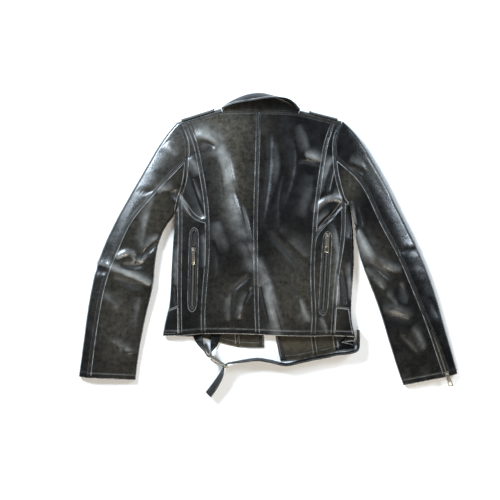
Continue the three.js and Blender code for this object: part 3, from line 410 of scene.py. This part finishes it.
def outside_of(node_name, thick):
    """The outer side of a CAD wall, as an open sheet. The faces of its rim have an edge as long as it is thick."""
    shape = bmesh.new()
    shape.from_mesh(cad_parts[node_name].data)
    bmesh.ops.remove_doubles(shape, verts=shape.verts, dist=0.02 * MM)
    rim = [f for f in shape.faces if any(abs(e.calc_length() - thick) < 0.04 * MM for e in f.edges)]
    bmesh.ops.delete(shape, geom=rim, context="FACES")
    left, sides = set(shape.faces), []
    while left:
        side, front = set(), [left.pop()]
        while front:
            face = front.pop()
            side.add(face)
            near = {f for e in face.edges for f in e.link_faces} & left
            left -= near
            front.extend(near)
        sides.append(side)

    def size_and_lift(side):
        return round(sum(f.calc_area() for f in side), 5), sum(f.calc_area() * f.normal.z for f in side)

    best = max(sides, key=size_and_lift)
    bmesh.ops.delete(shape, geom=[f for f in shape.faces if f not in best], context="FACES")
    bmesh.ops.join_triangles(shape, faces=shape.faces[:], angle_face_threshold=math.radians(50),
                             angle_shape_threshold=math.radians(80))
    return shape


def smoothed(shape, name, levels):
    """An object of this shape after smooth subdivision, with its outer corners kept."""
    sharp = shape.verts.layers.float.get("crease_vert") or shape.verts.layers.float.new("crease_vert")
    for vert in shape.verts:
        cut = [e for e in vert.link_edges if e.is_boundary]
        vert[sharp] = 0.0
        if len(cut) == 2 and len(vert.link_faces) <= 2:
            ways = [e.other_vert(vert).co - vert.co for e in cut]
            vert[sharp] = float(ways[0].angle(ways[1], math.pi) < CORNER_ANGLE)
    mesh = bpy.data.meshes.new(name)
    shape.to_mesh(mesh)
    shape.free()
    made = bpy.data.objects.new(name, mesh)
    bpy.context.collection.objects.link(made)
    soft = made.modifiers.new("soft", "SUBSURF")
    soft.levels = soft.render_levels = levels
    soft.boundary_smooth = "PRESERVE_CORNERS"
    mesh = bpy.data.meshes.new_from_object(made.evaluated_get(bpy.context.evaluated_depsgraph_get()))
    made.modifiers.clear()
    made.data = mesh
    mesh.name = name
    return made


def banded(made, band, levels):
    """Adds a strip along each cut edge and smooths again."""
    shape = bmesh.new()
    shape.from_mesh(made.data)
    bmesh.ops.inset_region(shape, faces=shape.faces[:], thickness=band, use_boundary=True, use_even_offset=False)
    name = made.name
    bpy.data.objects.remove(made)
    return smoothed(shape, name, levels)


def edge_distance(mesh, points, hem=False):
    """How far each point is from the nearest cut edge, or the nearest hem, and where that edge is."""
    uses = np.zeros(len(mesh.edges), int)
    loops = np.empty(len(mesh.loops), int)
    mesh.loops.foreach_get("edge_index", loops)
    np.add.at(uses, loops, 1)
    ends = np.empty(2 * len(mesh.edges), int)
    mesh.edges.foreach_get("vertices", ends)
    cut = ends.reshape(-1, 2)[uses == 1]
    if hem:
        run = points[cut[:, 1]] - points[cut[:, 0]]
        cut = cut[(abs(run[:, 0]) > 0.85 * np.linalg.norm(run, axis=1)) & (points[cut[:, 0], 1] < HEM_Y)]
        if not len(cut):
            return np.full(len(points), 1.0), points
    samples = [points[cut[:, 0]] * (1 - t) + points[cut[:, 1]] * t for t in (0, 0.25, 0.5, 0.75)]
    dots = np.concatenate(samples)
    tree = KDTree(len(dots))
    for index, dot in enumerate(dots):
        tree.insert(dot, index)
    tree.balance()
    found = [tree.find(point) for point in points]
    return np.array([f[2] for f in found]), np.array([f[0] for f in found])


def vertex_values(collection, width, key):
    """One row of numbers for each vertex."""
    values = np.empty(len(collection) * width)
    collection.foreach_get(key, values)
    return values.reshape(-1, width)


def skin(node_name, finish, inside=None, thick=LEATHER, rows=(), proud=0.0, rub_and_highlight=0.4, uneven=1.0, brown=0.0,
         level=2, padded=0.0):
    """The visible panel for a CAD wall: smoothed, folded, turned down at its edges and given its thickness."""
    made = smoothed(outside_of(node_name, thick), node_name + "_skin", 1)
    made = banded(made, SEAM_BAND, level)
    mesh = made.data
    points = vertex_values(mesh.vertices, 3, "co")
    normals = vertex_values(mesh.vertex_normals, 3, "vector")
    away, nearest = edge_distance(mesh, points)
    from_hem = edge_distance(mesh, points, hem=True)[0]
    on_top = np.clip((points[:, 2] - LAYER_Z) / LAYER_Z, 0, 1)
    fold = crease_height(points, rows) * on_top
    ripple = np.array([0.4 * noise.noise(Vector(p) * 30) + 0.09 * noise.noise(Vector(p) * 95) for p in points]) * MM
    pucker = np.array([noise.noise(Vector(p) * 210) if d < 10 * MM else 0 for p, d in zip(points, away)]) * MM
    pucker *= 0.1 * np.exp(-(away / PUCKER_REACH) ** 2)
    turned = np.clip(1 - away / TURN, 0, 1)
    edge = proud * MM * np.exp(-(away / PROUD_REACH) ** 2) - TURN_DEPTH * (1 - np.sqrt(1 - turned ** 2 * 0.999))
    stitch_dip = -STITCH_PULL * np.exp(-((away - STITCH_ROW) / STITCH_REACH) ** 2)
    less_below = np.clip(points[:, 2] / LAYER_Z, 0.15, 1)
    move = fold + (ripple * uneven + pucker + edge + stitch_dip) * less_below
    moved = points + normals * (move + padded * MM)[:, None]
    if node_name == "collar":
        at_neck = np.exp(-(away / (3 * MM)) ** 2) * (nearest[:, 1] < NECK_Y)
        moved += at_neck[:, None] * np.array(NECK_TUCK)
    moved[:, 2] = np.maximum(moved[:, 2], LOWEST)
    mesh.vertices.foreach_set("co", moved.ravel())
    plan = points[:, :2] / MM
    worn_brown = np.full(len(points), brown)
    for x, y, reach_x, reach_y, amount in BROWN_PATCHES:
        near = ((plan[:, 0] - x) / reach_x) ** 2 + ((plan[:, 1] - y) / reach_y) ** 2
        worn_brown += amount * np.exp(-near)
    tucked = 0.85 * np.clip((nearest[:, 1] - SHOULDER_Y) / (20 * MM), 0, 1)
    if node_name == "collar":
        tucked = 0.95 * (nearest[:, 1] < NECK_Y)
    masks = {
        "edge": away / MM,
        "hem": from_hem / MM,
        # how strongly the pale ridge lines show, rubbed wear with a painted highlight, left off under the straps
        # and the collar
        "rub_and_highlight": rub_and_highlight * (1 - tucked),
        # the fold height, which the finish turns into painted highlight on fold tops and painted shade in fold
        # hollows
        "fold": np.clip(fold / (3.6 * MM), -1, 1),
        "brown": np.clip(worn_brown, 0, 1),
    }
    for key, values in masks.items():
        mesh.attributes.new(key, "FLOAT", "POINT").data.foreach_set("value", values.astype(np.float32))
    mesh.shade_smooth()
    mesh.materials.clear()
    mesh.materials.append(finish)
    mesh.materials.append(inside or finish)
    wall = made.modifiers.new("thickness", "SOLIDIFY")
    wall.material_offset = 1
    wall.thickness = thick + padded * MM
    wall.offset = -1
    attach(made, "jacket")
    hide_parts(node_name)
    return made


# ---- Body, sleeves, collar and straps ----
# The back is two centre panels between two side backs and two zip panels, the side panels go round to the
# fronts, and each sleeve is a top and an under sleeve. Straps lie round the shoulders and bands round the sides.

PANELS = [
    # node, flat width, length and area of its cut in m and m2, how proud its edges stand, how rubbed they are,
    # which also sets the strength of their painted highlight
    ("back_left", 0.135, 0.515, 0.063, 0.8, 0.8),
    ("back_right", 0.15, 0.515, 0.072, 0.8, 0.8),
    ("side_back_left", 0.06, 0.235, 0.0074, 0.0, 0.55),
    ("side_back_right", 0.065, 0.27, 0.0083, 0.0, 0.55),
    ("zip_panel_left", 0.065, 0.33, 0.0142, 0.0, 0.4),
    ("zip_panel_right", 0.06, 0.32, 0.0126, 0.0, 0.4),
    ("side_left", 0.085, 0.33, 0.0224, 0.1, 0.5),
    ("side_right", 0.115, 0.34, 0.0298, 0.1, 0.65),
    ("top_sleeve_left", 0.135, 0.66, 0.074, 0.2, 0.1),
    ("top_sleeve_right", 0.145, 0.67, 0.081, 0.2, 0.1),
    ("under_sleeve_left", 0.155, 0.6, 0.0768, 0.5, 0.6),
    ("under_sleeve_right", 0.15, 0.6, 0.0742, 0.5, 0.6),
    ("collar", 0.055, 0.21, 0.0099, 0.3, 0.9),
]
FACINGS = [
    ("front_side_left", 0.12, 0.39, 0.0318), ("front_side_right", 0.09, 0.40, 0.0222),
    ("front_left", 0.145, 0.57, 0.0587), ("front_right", 0.14, 0.58, 0.0565),
    ("collar_end_left", 0.027, 0.11, 0.0028), ("collar_end_right", 0.027, 0.082, 0.0021),
]
STRAPS = [
    ("shoulder_strap_left", 0.04, 0.095, 0.0036), ("shoulder_strap_right", 0.04, 0.085, 0.0031),
    ("hem_band_left", 0.06, 0.055, 0.0026), ("hem_band_right", 0.065, 0.055, 0.0029),
]
panels = {}
for node_name, width, length, area, proud, rub_and_highlight in PANELS:
    rows = SLEEVE_FOLDS if "sleeve" in node_name else BODY_FOLDS if node_name != "collar" else []
    made = skin(node_name, charcoal, rows=rows, proud=proud, rub_and_highlight=rub_and_highlight)
    panels[node_name] = made
for node_name, width, length, area in FACINGS:
    is_end = node_name.startswith("collar")
    outer, inner = (charcoal, inside_leather) if "side" not in node_name else (inside_leather, charcoal)
    made = skin(node_name, outer, inside=inner, rub_and_highlight=0.9, uneven=0.5,
                brown=0.1 if is_end else 0.8, level=1)
    panels[node_name] = made
for node_name, width, length, area in STRAPS:
    is_strap = "strap" in node_name
    made = skin(node_name, charcoal, thick=STRAP, rub_and_highlight=0.3 if is_strap else 0.8, uneven=0.6,
                padded=1.8 if is_strap else 0)
    panels[node_name] = made

# ---- Zips ----
# Metal zips with aged nickel teeth on black woven tape, set under the leather. The side zips open a slot
# that is edged with a narrow folded welt. The sliders' pulls hang from their bridges and swing.


def woven(name, colour):
    """Woven or twisted thread, with its ribs across the weave."""
    made = bpy.data.materials.new(name)
    made.use_nodes = True
    tree = made.node_tree
    shader = tree.nodes["Principled BSDF"]
    place = put(tree, "ShaderNodeTexCoord").outputs["Object"]
    ribs = put(tree, "ShaderNodeTexWave", {"Vector": place, "Scale": 420, "Distortion": 1.5},
               bands_direction="DIAGONAL")
    light = [channel * 2.4 for channel in colour[:3]] + [1]
    tree.links.new(blend_colour(tree, ribs.outputs["Fac"], colour, light), shader.inputs["Base Color"])
    shader.inputs["Roughness"].default_value = 0.85
    raised = put(tree, "ShaderNodeBump", {"Height": ribs.outputs["Fac"], "Strength": 0.5, "Distance": 0.0003})
    tree.links.new(raised.outputs[0], shader.inputs["Normal"])
    return made


def aged_metal(name, bright, dull):
    """Plated metal whose shine is stained and finely scratched."""
    made = bpy.data.materials.new(name)
    made.use_nodes = True
    tree = made.node_tree
    shader = tree.nodes["Principled BSDF"]
    shader.inputs["Metallic"].default_value = 1.0
    place = put(tree, "ShaderNodeTexCoord").outputs["Object"]
    stains = put(tree, "ShaderNodeTexNoise", {"Vector": place, "Scale": 260, "Detail": 5, "Roughness": 0.6})
    scratches = put(tree, "ShaderNodeTexNoise", {"Vector": place, "Scale": 900, "Detail": 2})
    share = between(tree, stains.outputs["Fac"], 0.38, 0.58)
    tree.links.new(blend_colour(tree, share, bright, dull), shader.inputs["Base Color"])
    tree.links.new(between(tree, stains.outputs["Fac"], 0.3, 0.7, 0.24, 0.5), shader.inputs["Roughness"])
    worn = put(tree, "ShaderNodeBump", {"Height": scratches.outputs["Fac"], "Strength": 0.25, "Distance": 0.0002})
    tree.links.new(worn.outputs[0], shader.inputs["Normal"])
    return made


tape_cloth = woven("zip tape", (0.005, 0.005, 0.0055, 1))
thread = woven("thread", (0.01, 0.0095, 0.009, 1))
nickel = aged_metal("aged nickel", (0.68, 0.63, 0.52, 1), (0.24, 0.21, 0.16, 1))


def settled(shape, name, finish, body="jacket"):
    """Makes the shape a piece of the jacket."""
    mesh = bpy.data.meshes.new(name)
    shape.to_mesh(mesh)
    shape.free()
    mesh.materials.append(finish)
    made = bpy.data.objects.new(name, mesh)
    bpy.context.collection.objects.link(made)
    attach(made, body)
    return made


def rounded(node_name, finish, bevel, body="jacket", rub_and_highlight=0.0):
    """A piece as its CAD solid, with its edges broken by a bevel, which is drawn pale where it is leather: rubbed
    wear with a painted highlight.
    """
    shape = bmesh.new()
    shape.from_mesh(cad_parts[node_name].data)
    bmesh.ops.remove_doubles(shape, verts=shape.verts, dist=0.02 * MM)
    bmesh.ops.dissolve_limit(shape, angle_limit=math.radians(2), verts=shape.verts, edges=shape.edges)
    sharp = [e for e in shape.edges if len(e.link_faces) == 2 and e.calc_face_angle() > math.radians(28)]
    made = bmesh.ops.bevel(shape, geom=sharp, offset=bevel * MM, offset_type="OFFSET", segments=2, profile=0.5,
                           material=-1, affect="EDGES", clamp_overlap=True)
    edge, hem, wear_and_highlight = (shape.loops.layers.float.new(key) for key in ("edge", "hem", "rub_and_highlight"))
    bevels = set(made["faces"])
    for face in shape.faces:
        for loop in face.loops:
            # Bevel faces take the pale ridge line: rubbed wear with a painted highlight.
            loop[edge] = RIDGE if face in bevels else 12
            loop[hem] = 100
            loop[wear_and_highlight] = rub_and_highlight
    bmesh.ops.triangulate(shape, faces=[f for f in shape.faces if len(f.verts) > 4])
    piece = settled(shape, node_name + "_piece", finish, body)
    piece.data.shade_smooth()
    piece.data.set_sharp_from_angle(angle=math.radians(38))
    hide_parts(node_name)
    return piece


def surface_of(*objects):
    """The surfaces of these objects as one tree to drop points on."""
    shape = bmesh.new()
    for each in objects:
        shape.from_mesh(each.data)
    tree = BVHTree.FromBMesh(shape)
    shape.free()
    return tree


def dropped(tree, x, y, above=0.2):
    """The point on a surface straight below x, y."""
    return tree.ray_cast(Vector((x, y, above)), Vector((0, 0, -1)))[0]


def add_block(shape, centre, along, size):
    """A block of length, width and height size, lengthwise along a direction in plan."""
    turn = Matrix.Rotation(math.atan2(along.y, along.x), 4, "Z")
    bmesh.ops.create_cube(shape, size=1, matrix=Matrix.Translation(centre) @ turn @ Matrix.Diagonal((*size, 1)))


TOOTH = Vector((1.3, 2.9, 1.3)) * MM
PITCH = 2.6 * MM
TOOTH_OUT, TOOTH_UP = 0.7 * MM, 0.35 * MM  # from the zip's line and from its tape to a tooth's middle


def teeth(name, tape_node, rows):
    """Two rows of teeth that mesh along a line, or stand apart by a width given at each end.
    Each row is start x, y, end x, y, half the gap at the start, in the middle and at the end, in mm."""
    tape = surface_of(tapes[tape_node])
    shape = bmesh.new()
    for x0, y0, x1, y1, gap_start, gap_middle, gap_end in rows:
        start, end = Vector((x0, y0)) * MM, Vector((x1, y1)) * MM
        along = (end - start).normalized()
        across = Vector((along.y, -along.x))
        count = int((end - start).length / PITCH)
        for k in range(count):
            for side in (-1, 1):
                t = (k + (0.25 if side > 0 else 0.75)) / count
                gap = (gap_start * (1 - t) ** 2 + 2 * (2 * gap_middle - (gap_start + gap_end) / 2) * t * (1 - t)
                       + gap_end * t ** 2) * MM
                place = start.lerp(end, t) + across * side * (gap + TOOTH_OUT)
                base = dropped(tape, place.x, place.y)
                if base:
                    add_block(shape, base + Vector((0, 0, TOOTH_UP)), along, TOOTH)
    return settled(shape, name, nickel)


tapes = {}
for node_name in ("zip_tape_left", "zip_tape_right", "zip_tape_cuff", "front_zip_left", "front_zip_right"):
    tapes[node_name] = rounded(node_name, tape_cloth, 0.12)

# The cuff's tape runs on up the sleeve's seam: its upper end is moved along the seam and stays as deep in it.
TAPE_END_Y = -256 * MM
TAPE_RUN = Vector((-19, 60)) * MM
SEAM_BELOW, SEAM_ABOVE = Vector((387, -250)) * MM, Vector((366, -192)) * MM
sleeve_seam = surface_of(panels["top_sleeve_right"], panels["under_sleeve_right"])
for vert in tapes["zip_tape_cuff"].data.vertices:
    if vert.co.y > TAPE_END_Y:
        depth = dropped(sleeve_seam, *SEAM_BELOW).z - vert.co.z
        vert.co.xy += TAPE_RUN
        vert.co.z = dropped(sleeve_seam, *SEAM_ABOVE).z - depth
teeth("teeth_left", "zip_tape_left", [
    (-175.7, -143, -172.2, -13, 0, 0, 0),
    (-172.2, -4, -171.1, 34, 0.3, 4.2, 1.6),
])
teeth("teeth_right", "zip_tape_right", [(125.5, -151, 135.6, 14, 0, 0, 0)])
teeth("teeth_cuff", "zip_tape_cuff", [(409, -294, 394, -249, 0, 0, 0), (393.5, -248, 374.5, -191, 0, 0, 0)])
teeth("teeth_front_left", "front_zip_left", [(-12.5, -234, -12.5, 138, 0, 0, 0)])
teeth("teeth_front_right", "front_zip_right", [(30.2, -264, 17.5, -205, 0, 0, 0), (17, -205, 13, -90, 0, 0, 0),
                                               (13, -90, 12.3, 138, 0, 0, 0)])
for side in ("left", "right", "cuff"):
    rounded("slider_" + side, nickel, 0.35)
    rounded("pull_" + side, nickel, 0.3, body="tab_" + side)


def cut_loops(mesh):
    """The cut edges of a sheet as closed loops of vertex numbers, the longest first."""
    shape = bmesh.new()
    shape.from_mesh(mesh)
    after = {}
    for edge in shape.edges:
        if edge.is_boundary:
            loop = edge.link_loops[0]
            after[loop.vert.index] = loop.link_loop_next.vert.index
    shape.free()
    loops = []
    while after:
        first = next(iter(after))
        loop = [first]
        while after.get(loop[-1]) is not None:
            loop.append(after.pop(loop[-1]))
        loops.append(loop[:-1])
    return sorted(loops, key=len, reverse=True)


WELT = [
    # into the slot, and up from the leather, in mm
    (-1.6, 0.25), (-0.9, 1.0), (0.4, 1.25), (1.7, 1.1), (2.5, 0.3), (2.5, -1.9),
]
WELT_CREST = 2  # the row of WELT that is rubbed pale and carries a painted highlight


def welt(side):
    """The narrow fold of leather that edges the slot, drawn out of the slot's cut edge."""
    panel = panels["zip_panel_" + side].data
    hole = [panel.vertices[i].co.copy() for i in cut_loops(panel)[1]]
    middle = sum(hole, Vector()) / len(hole)
    top = max(p.y for p in hole) - 5 * MM
    bottom = min(p.y for p in hole) + 5 * MM
    shape = bmesh.new()
    ways = []
    for p in hole:
        heart = Vector((middle.x + (p.y - middle.y) * 0.03, min(max(p.y, bottom), top), p.z))
        ways.append((heart - p).normalized())
    into, up = WELT[0]
    verts = [shape.verts.new(p + way * into * MM + Vector((0, 0, up * MM))) for p, way in zip(hole, ways)]
    edges = [shape.edges.new((verts[k - 1], verts[k])) for k in range(len(verts))]
    for row, (into, up) in enumerate(WELT[1:], 1):
        made = bmesh.ops.extrude_edge_only(shape, edges=edges)["geom"]
        edges = [g for g in made if isinstance(g, bmesh.types.BMEdge) and g.is_boundary]
        fresh = [g for g in made if isinstance(g, bmesh.types.BMVert)]
        if row == WELT_CREST:
            crest = set(fresh)
        for vert in fresh:
            k = min(range(len(hole)), key=lambda n: (hole[n].xy - vert.co.xy).length)
            vert.co = hole[k] + ways[k] * into * MM + Vector((0, 0, up * MM))
    bmesh.ops.recalc_face_normals(shape, faces=shape.faces)
    if sum(f.normal.z for f in shape.faces) < 0:
        bmesh.ops.reverse_faces(shape, faces=shape.faces)
    edge, hem, wear_and_highlight = (shape.verts.layers.float.new(key) for key in ("edge", "hem", "rub_and_highlight"))
    for vert in shape.verts:
        vert[hem] = 100
        vert[wear_and_highlight] = 0.4
        # The crest takes the pale ridge line, rubbed wear with a painted highlight; the rest of the welt counts as
        # 0.8 mm from an edge and takes near-black painted shade down into the slot.
        vert[edge] = RIDGE if vert in crest else 0.8
    piece = settled(shape, "welt_" + side, charcoal)
    piece.data.shade_smooth()
    fold = piece.modifiers.new("thickness", "SOLIDIFY")
    fold.thickness = 0.8 * MM
    fold.offset = -1


welt("left")
welt("right")

# ---- Stitching ----
# Waxed polyester thread, about seven stitches to the inch, two rows on the main seams and one on the hems.

STITCH = 2.6 * MM
STITCH_PITCH = 3.7 * MM
THREAD = 0.36 * MM  # half the thread's thickness
THREAD_UP = 0.1 * MM  # from the leather to the thread's middle
CORNER = math.radians(35)


def sides_of(piece):
    """The outline of a panel as its sides, each a list of points from corner to corner."""
    loop = [piece.data.vertices[i].co.copy() for i in cut_loops(piece.data)[0]]
    count = len(loop)
    turns = []
    for k in range(count):
        before, after = (loop[k] - loop[k - 2]), (loop[(k + 2) % count] - loop[k])
        turns.append(before.angle(after, 0))
    corners = [k for k in range(count)
               if turns[k] > CORNER and turns[k] == max(turns[k - 3:k] + turns[k:k + 4])]
    if len(corners) < 2:
        return [loop]
    return [[loop[n % count] for n in range(a, (b if b > a else b + count) + 1)]
            for a, b in zip(corners, corners[1:] + corners[:1])]


def side_towards(piece, direction):
    """The side of a panel that lies farthest in a direction."""
    way = Vector(direction)
    return max(sides_of(piece), key=lambda side: sum(p.dot(way) for p in side) / len(side))


# The bands at the sides are sewn in a paler thread.
pale_thread = woven("pale thread", (0.16, 0.15, 0.13, 1))


def sew(name, runs, finish=None):
    """Rows of stitches. Each run is a panel, the way to the side that it follows and how far in it is, in mm."""
    shape = bmesh.new()
    for node_name, direction, distances in runs:
        piece = panels[node_name]
        tree = surface_of(piece)
        side = side_towards(piece, direction)
        heart = sum((v.co for v in piece.data.vertices), Vector()) / len(piece.data.vertices)
        for distance in distances:
            track = []
            for k in range(1, len(side) - 1):
                normal = tree.find_nearest(side[k])[1]
                inward = normal.cross(side[k + 1] - side[k - 1]).normalized()
                if inward.dot(heart - side[k]) < 0:
                    inward.negate()
                track.append(tree.find_nearest(side[k] + inward * distance * MM)[0])
            lengths = np.cumsum([0] + [(b - a).length for a, b in zip(track, track[1:])])
            for start in np.arange(distance * MM, lengths[-1] - max(distance, 4) * MM, STITCH_PITCH):
                k = int(np.searchsorted(lengths, start + STITCH / 2)) - 1
                if (track[k + 1] - track[k]).length < 1e-7:
                    continue
                share = (start + STITCH / 2 - lengths[k]) / (lengths[k + 1] - lengths[k])
                foot, normal, _, _ = tree.find_nearest(track[k].lerp(track[k + 1], share))
                turn = (track[k + 1] - track[k]).to_track_quat("Z", "Y").to_matrix().to_4x4()
                place = Matrix.Translation(foot + normal * THREAD_UP) @ turn
                bmesh.ops.create_cone(shape, cap_ends=True, segments=5, radius1=THREAD, radius2=THREAD,
                                      depth=STITCH, matrix=place)
    return settled(shape, name, finish or thread)


LEFT, RIGHT, UP_Y, DOWN_Y = (-1, 0, 0), (1, 0, 0), (0, 1, 0), (0, -1, 0)
sew("back_stitches", [
    ("back_left", RIGHT, (2.8, 6.4)), ("back_right", LEFT, (2.8, 6.4)),
    ("back_left", LEFT, (2.8, 6.4)), ("back_right", RIGHT, (2.8, 6.4)),
    ("back_left", DOWN_Y, (13.8,)), ("back_right", DOWN_Y, (13.8,)),
    ("back_left", UP_Y, (2.8,)), ("back_right", UP_Y, (2.8,)),
    ("zip_panel_left", DOWN_Y, (13.8,)), ("zip_panel_right", DOWN_Y, (13.8,)),
    ("side_left", RIGHT, (2.8,)), ("side_right", LEFT, (2.8, 6.4)),
    ("side_back_left", LEFT, (2.8,)), ("side_back_right", RIGHT, (2.8,)),
])
sew("sleeve_stitches", [
    ("under_sleeve_left", (0, 0, 1), (2.8,)), ("under_sleeve_right", (0, 0, 1), (2.8,)),
    ("top_sleeve_left", DOWN_Y, (14,)), ("under_sleeve_left", DOWN_Y, (14,)),
    ("top_sleeve_right", DOWN_Y, (14,)), ("under_sleeve_right", DOWN_Y, (14,)),
])
sew("trim_stitches", [
    ("collar", UP_Y, (2.8,)), ("collar", (0, -1, -1), (2.8,)),
    ("shoulder_strap_left", (0, 0, 1), (2.4,)), ("shoulder_strap_right", (0, 0, 1), (2.4,)),
])
sew("band_stitches", [
    ("hem_band_left", UP_Y, (2.4, 5.2)), ("hem_band_left", DOWN_Y, (9,)), ("hem_band_left", RIGHT, (2.4,)),
    ("hem_band_right", UP_Y, (2.4, 5.2)), ("hem_band_right", DOWN_Y, (9,)), ("hem_band_right", LEFT, (2.4,)),
], pale_thread)
sew("facing_stitches", [
    ("front_left", DOWN_Y, (9,)), ("front_side_left", DOWN_Y, (9,)), ("front_left", LEFT, (3,)),
    ("front_right", DOWN_Y, (9,)), ("front_side_right", DOWN_Y, (9,)), ("front_right", RIGHT, (3,)),
])

# ---- Belt and buckle ----
# A belt of two layers of leather. It runs on its edge below the fronts and through a metal buckle that a short
# strap holds, and its end lies free.

strap_leather = leather("strap leather", dark=(0.003, 0.003, 0.003, 1), worn=(0.3, 0.29, 0.27, 1),
                        brown=(0.01, 0.008, 0.005, 1), rough=0.5, shine=0.22)
for node_name, width, length, rub_and_highlight in (("belt", 0.025, 0.445, 0.6), ("buckle_strap", 0.02, 0.135, 0.3)):
    strap = rounded(node_name, strap_leather, 0.45, rub_and_highlight=rub_and_highlight)
rounded("buckle_frame", nickel, 0.8)
rounded("buckle_prong", nickel, 0.5)

# ---- Snaps ----
# The shoulder straps are held down near the collar by snaps with a domed cap.

CAP_RADIUS = 5.2 * MM
CAP_FLAT = 0.42  # how high the dome is for its radius


def snap(side, x, y):
    """A cap on the strap, with its foot just under the leather."""
    strap = surface_of(panels["shoulder_strap_" + side])
    foot, normal, _, _ = strap.find_nearest(Vector((x, y, 16)) * MM)
    turn = normal.to_track_quat("Z", "Y").to_matrix().to_4x4()
    shape = bmesh.new()
    bmesh.ops.create_uvsphere(shape, u_segments=24, v_segments=12, radius=CAP_RADIUS)
    bmesh.ops.bisect_plane(shape, geom=shape.verts[:] + shape.edges[:] + shape.faces[:], plane_co=(0, 0, 0),
                           plane_no=(0, 0, 1), clear_inner=True)
    rim = [e for e in shape.edges if e.is_boundary]
    bmesh.ops.contextual_create(shape, geom=rim)
    bmesh.ops.scale(shape, verts=shape.verts, vec=(1, 1, CAP_FLAT))
    bmesh.ops.transform(shape, matrix=Matrix.Translation(foot - normal * 0.2 * MM) @ turn, verts=shape.verts)
    settled(shape, "snap_" + side, nickel).data.shade_smooth()


snap("left", -126, 330)
snap("right", 90, 330)
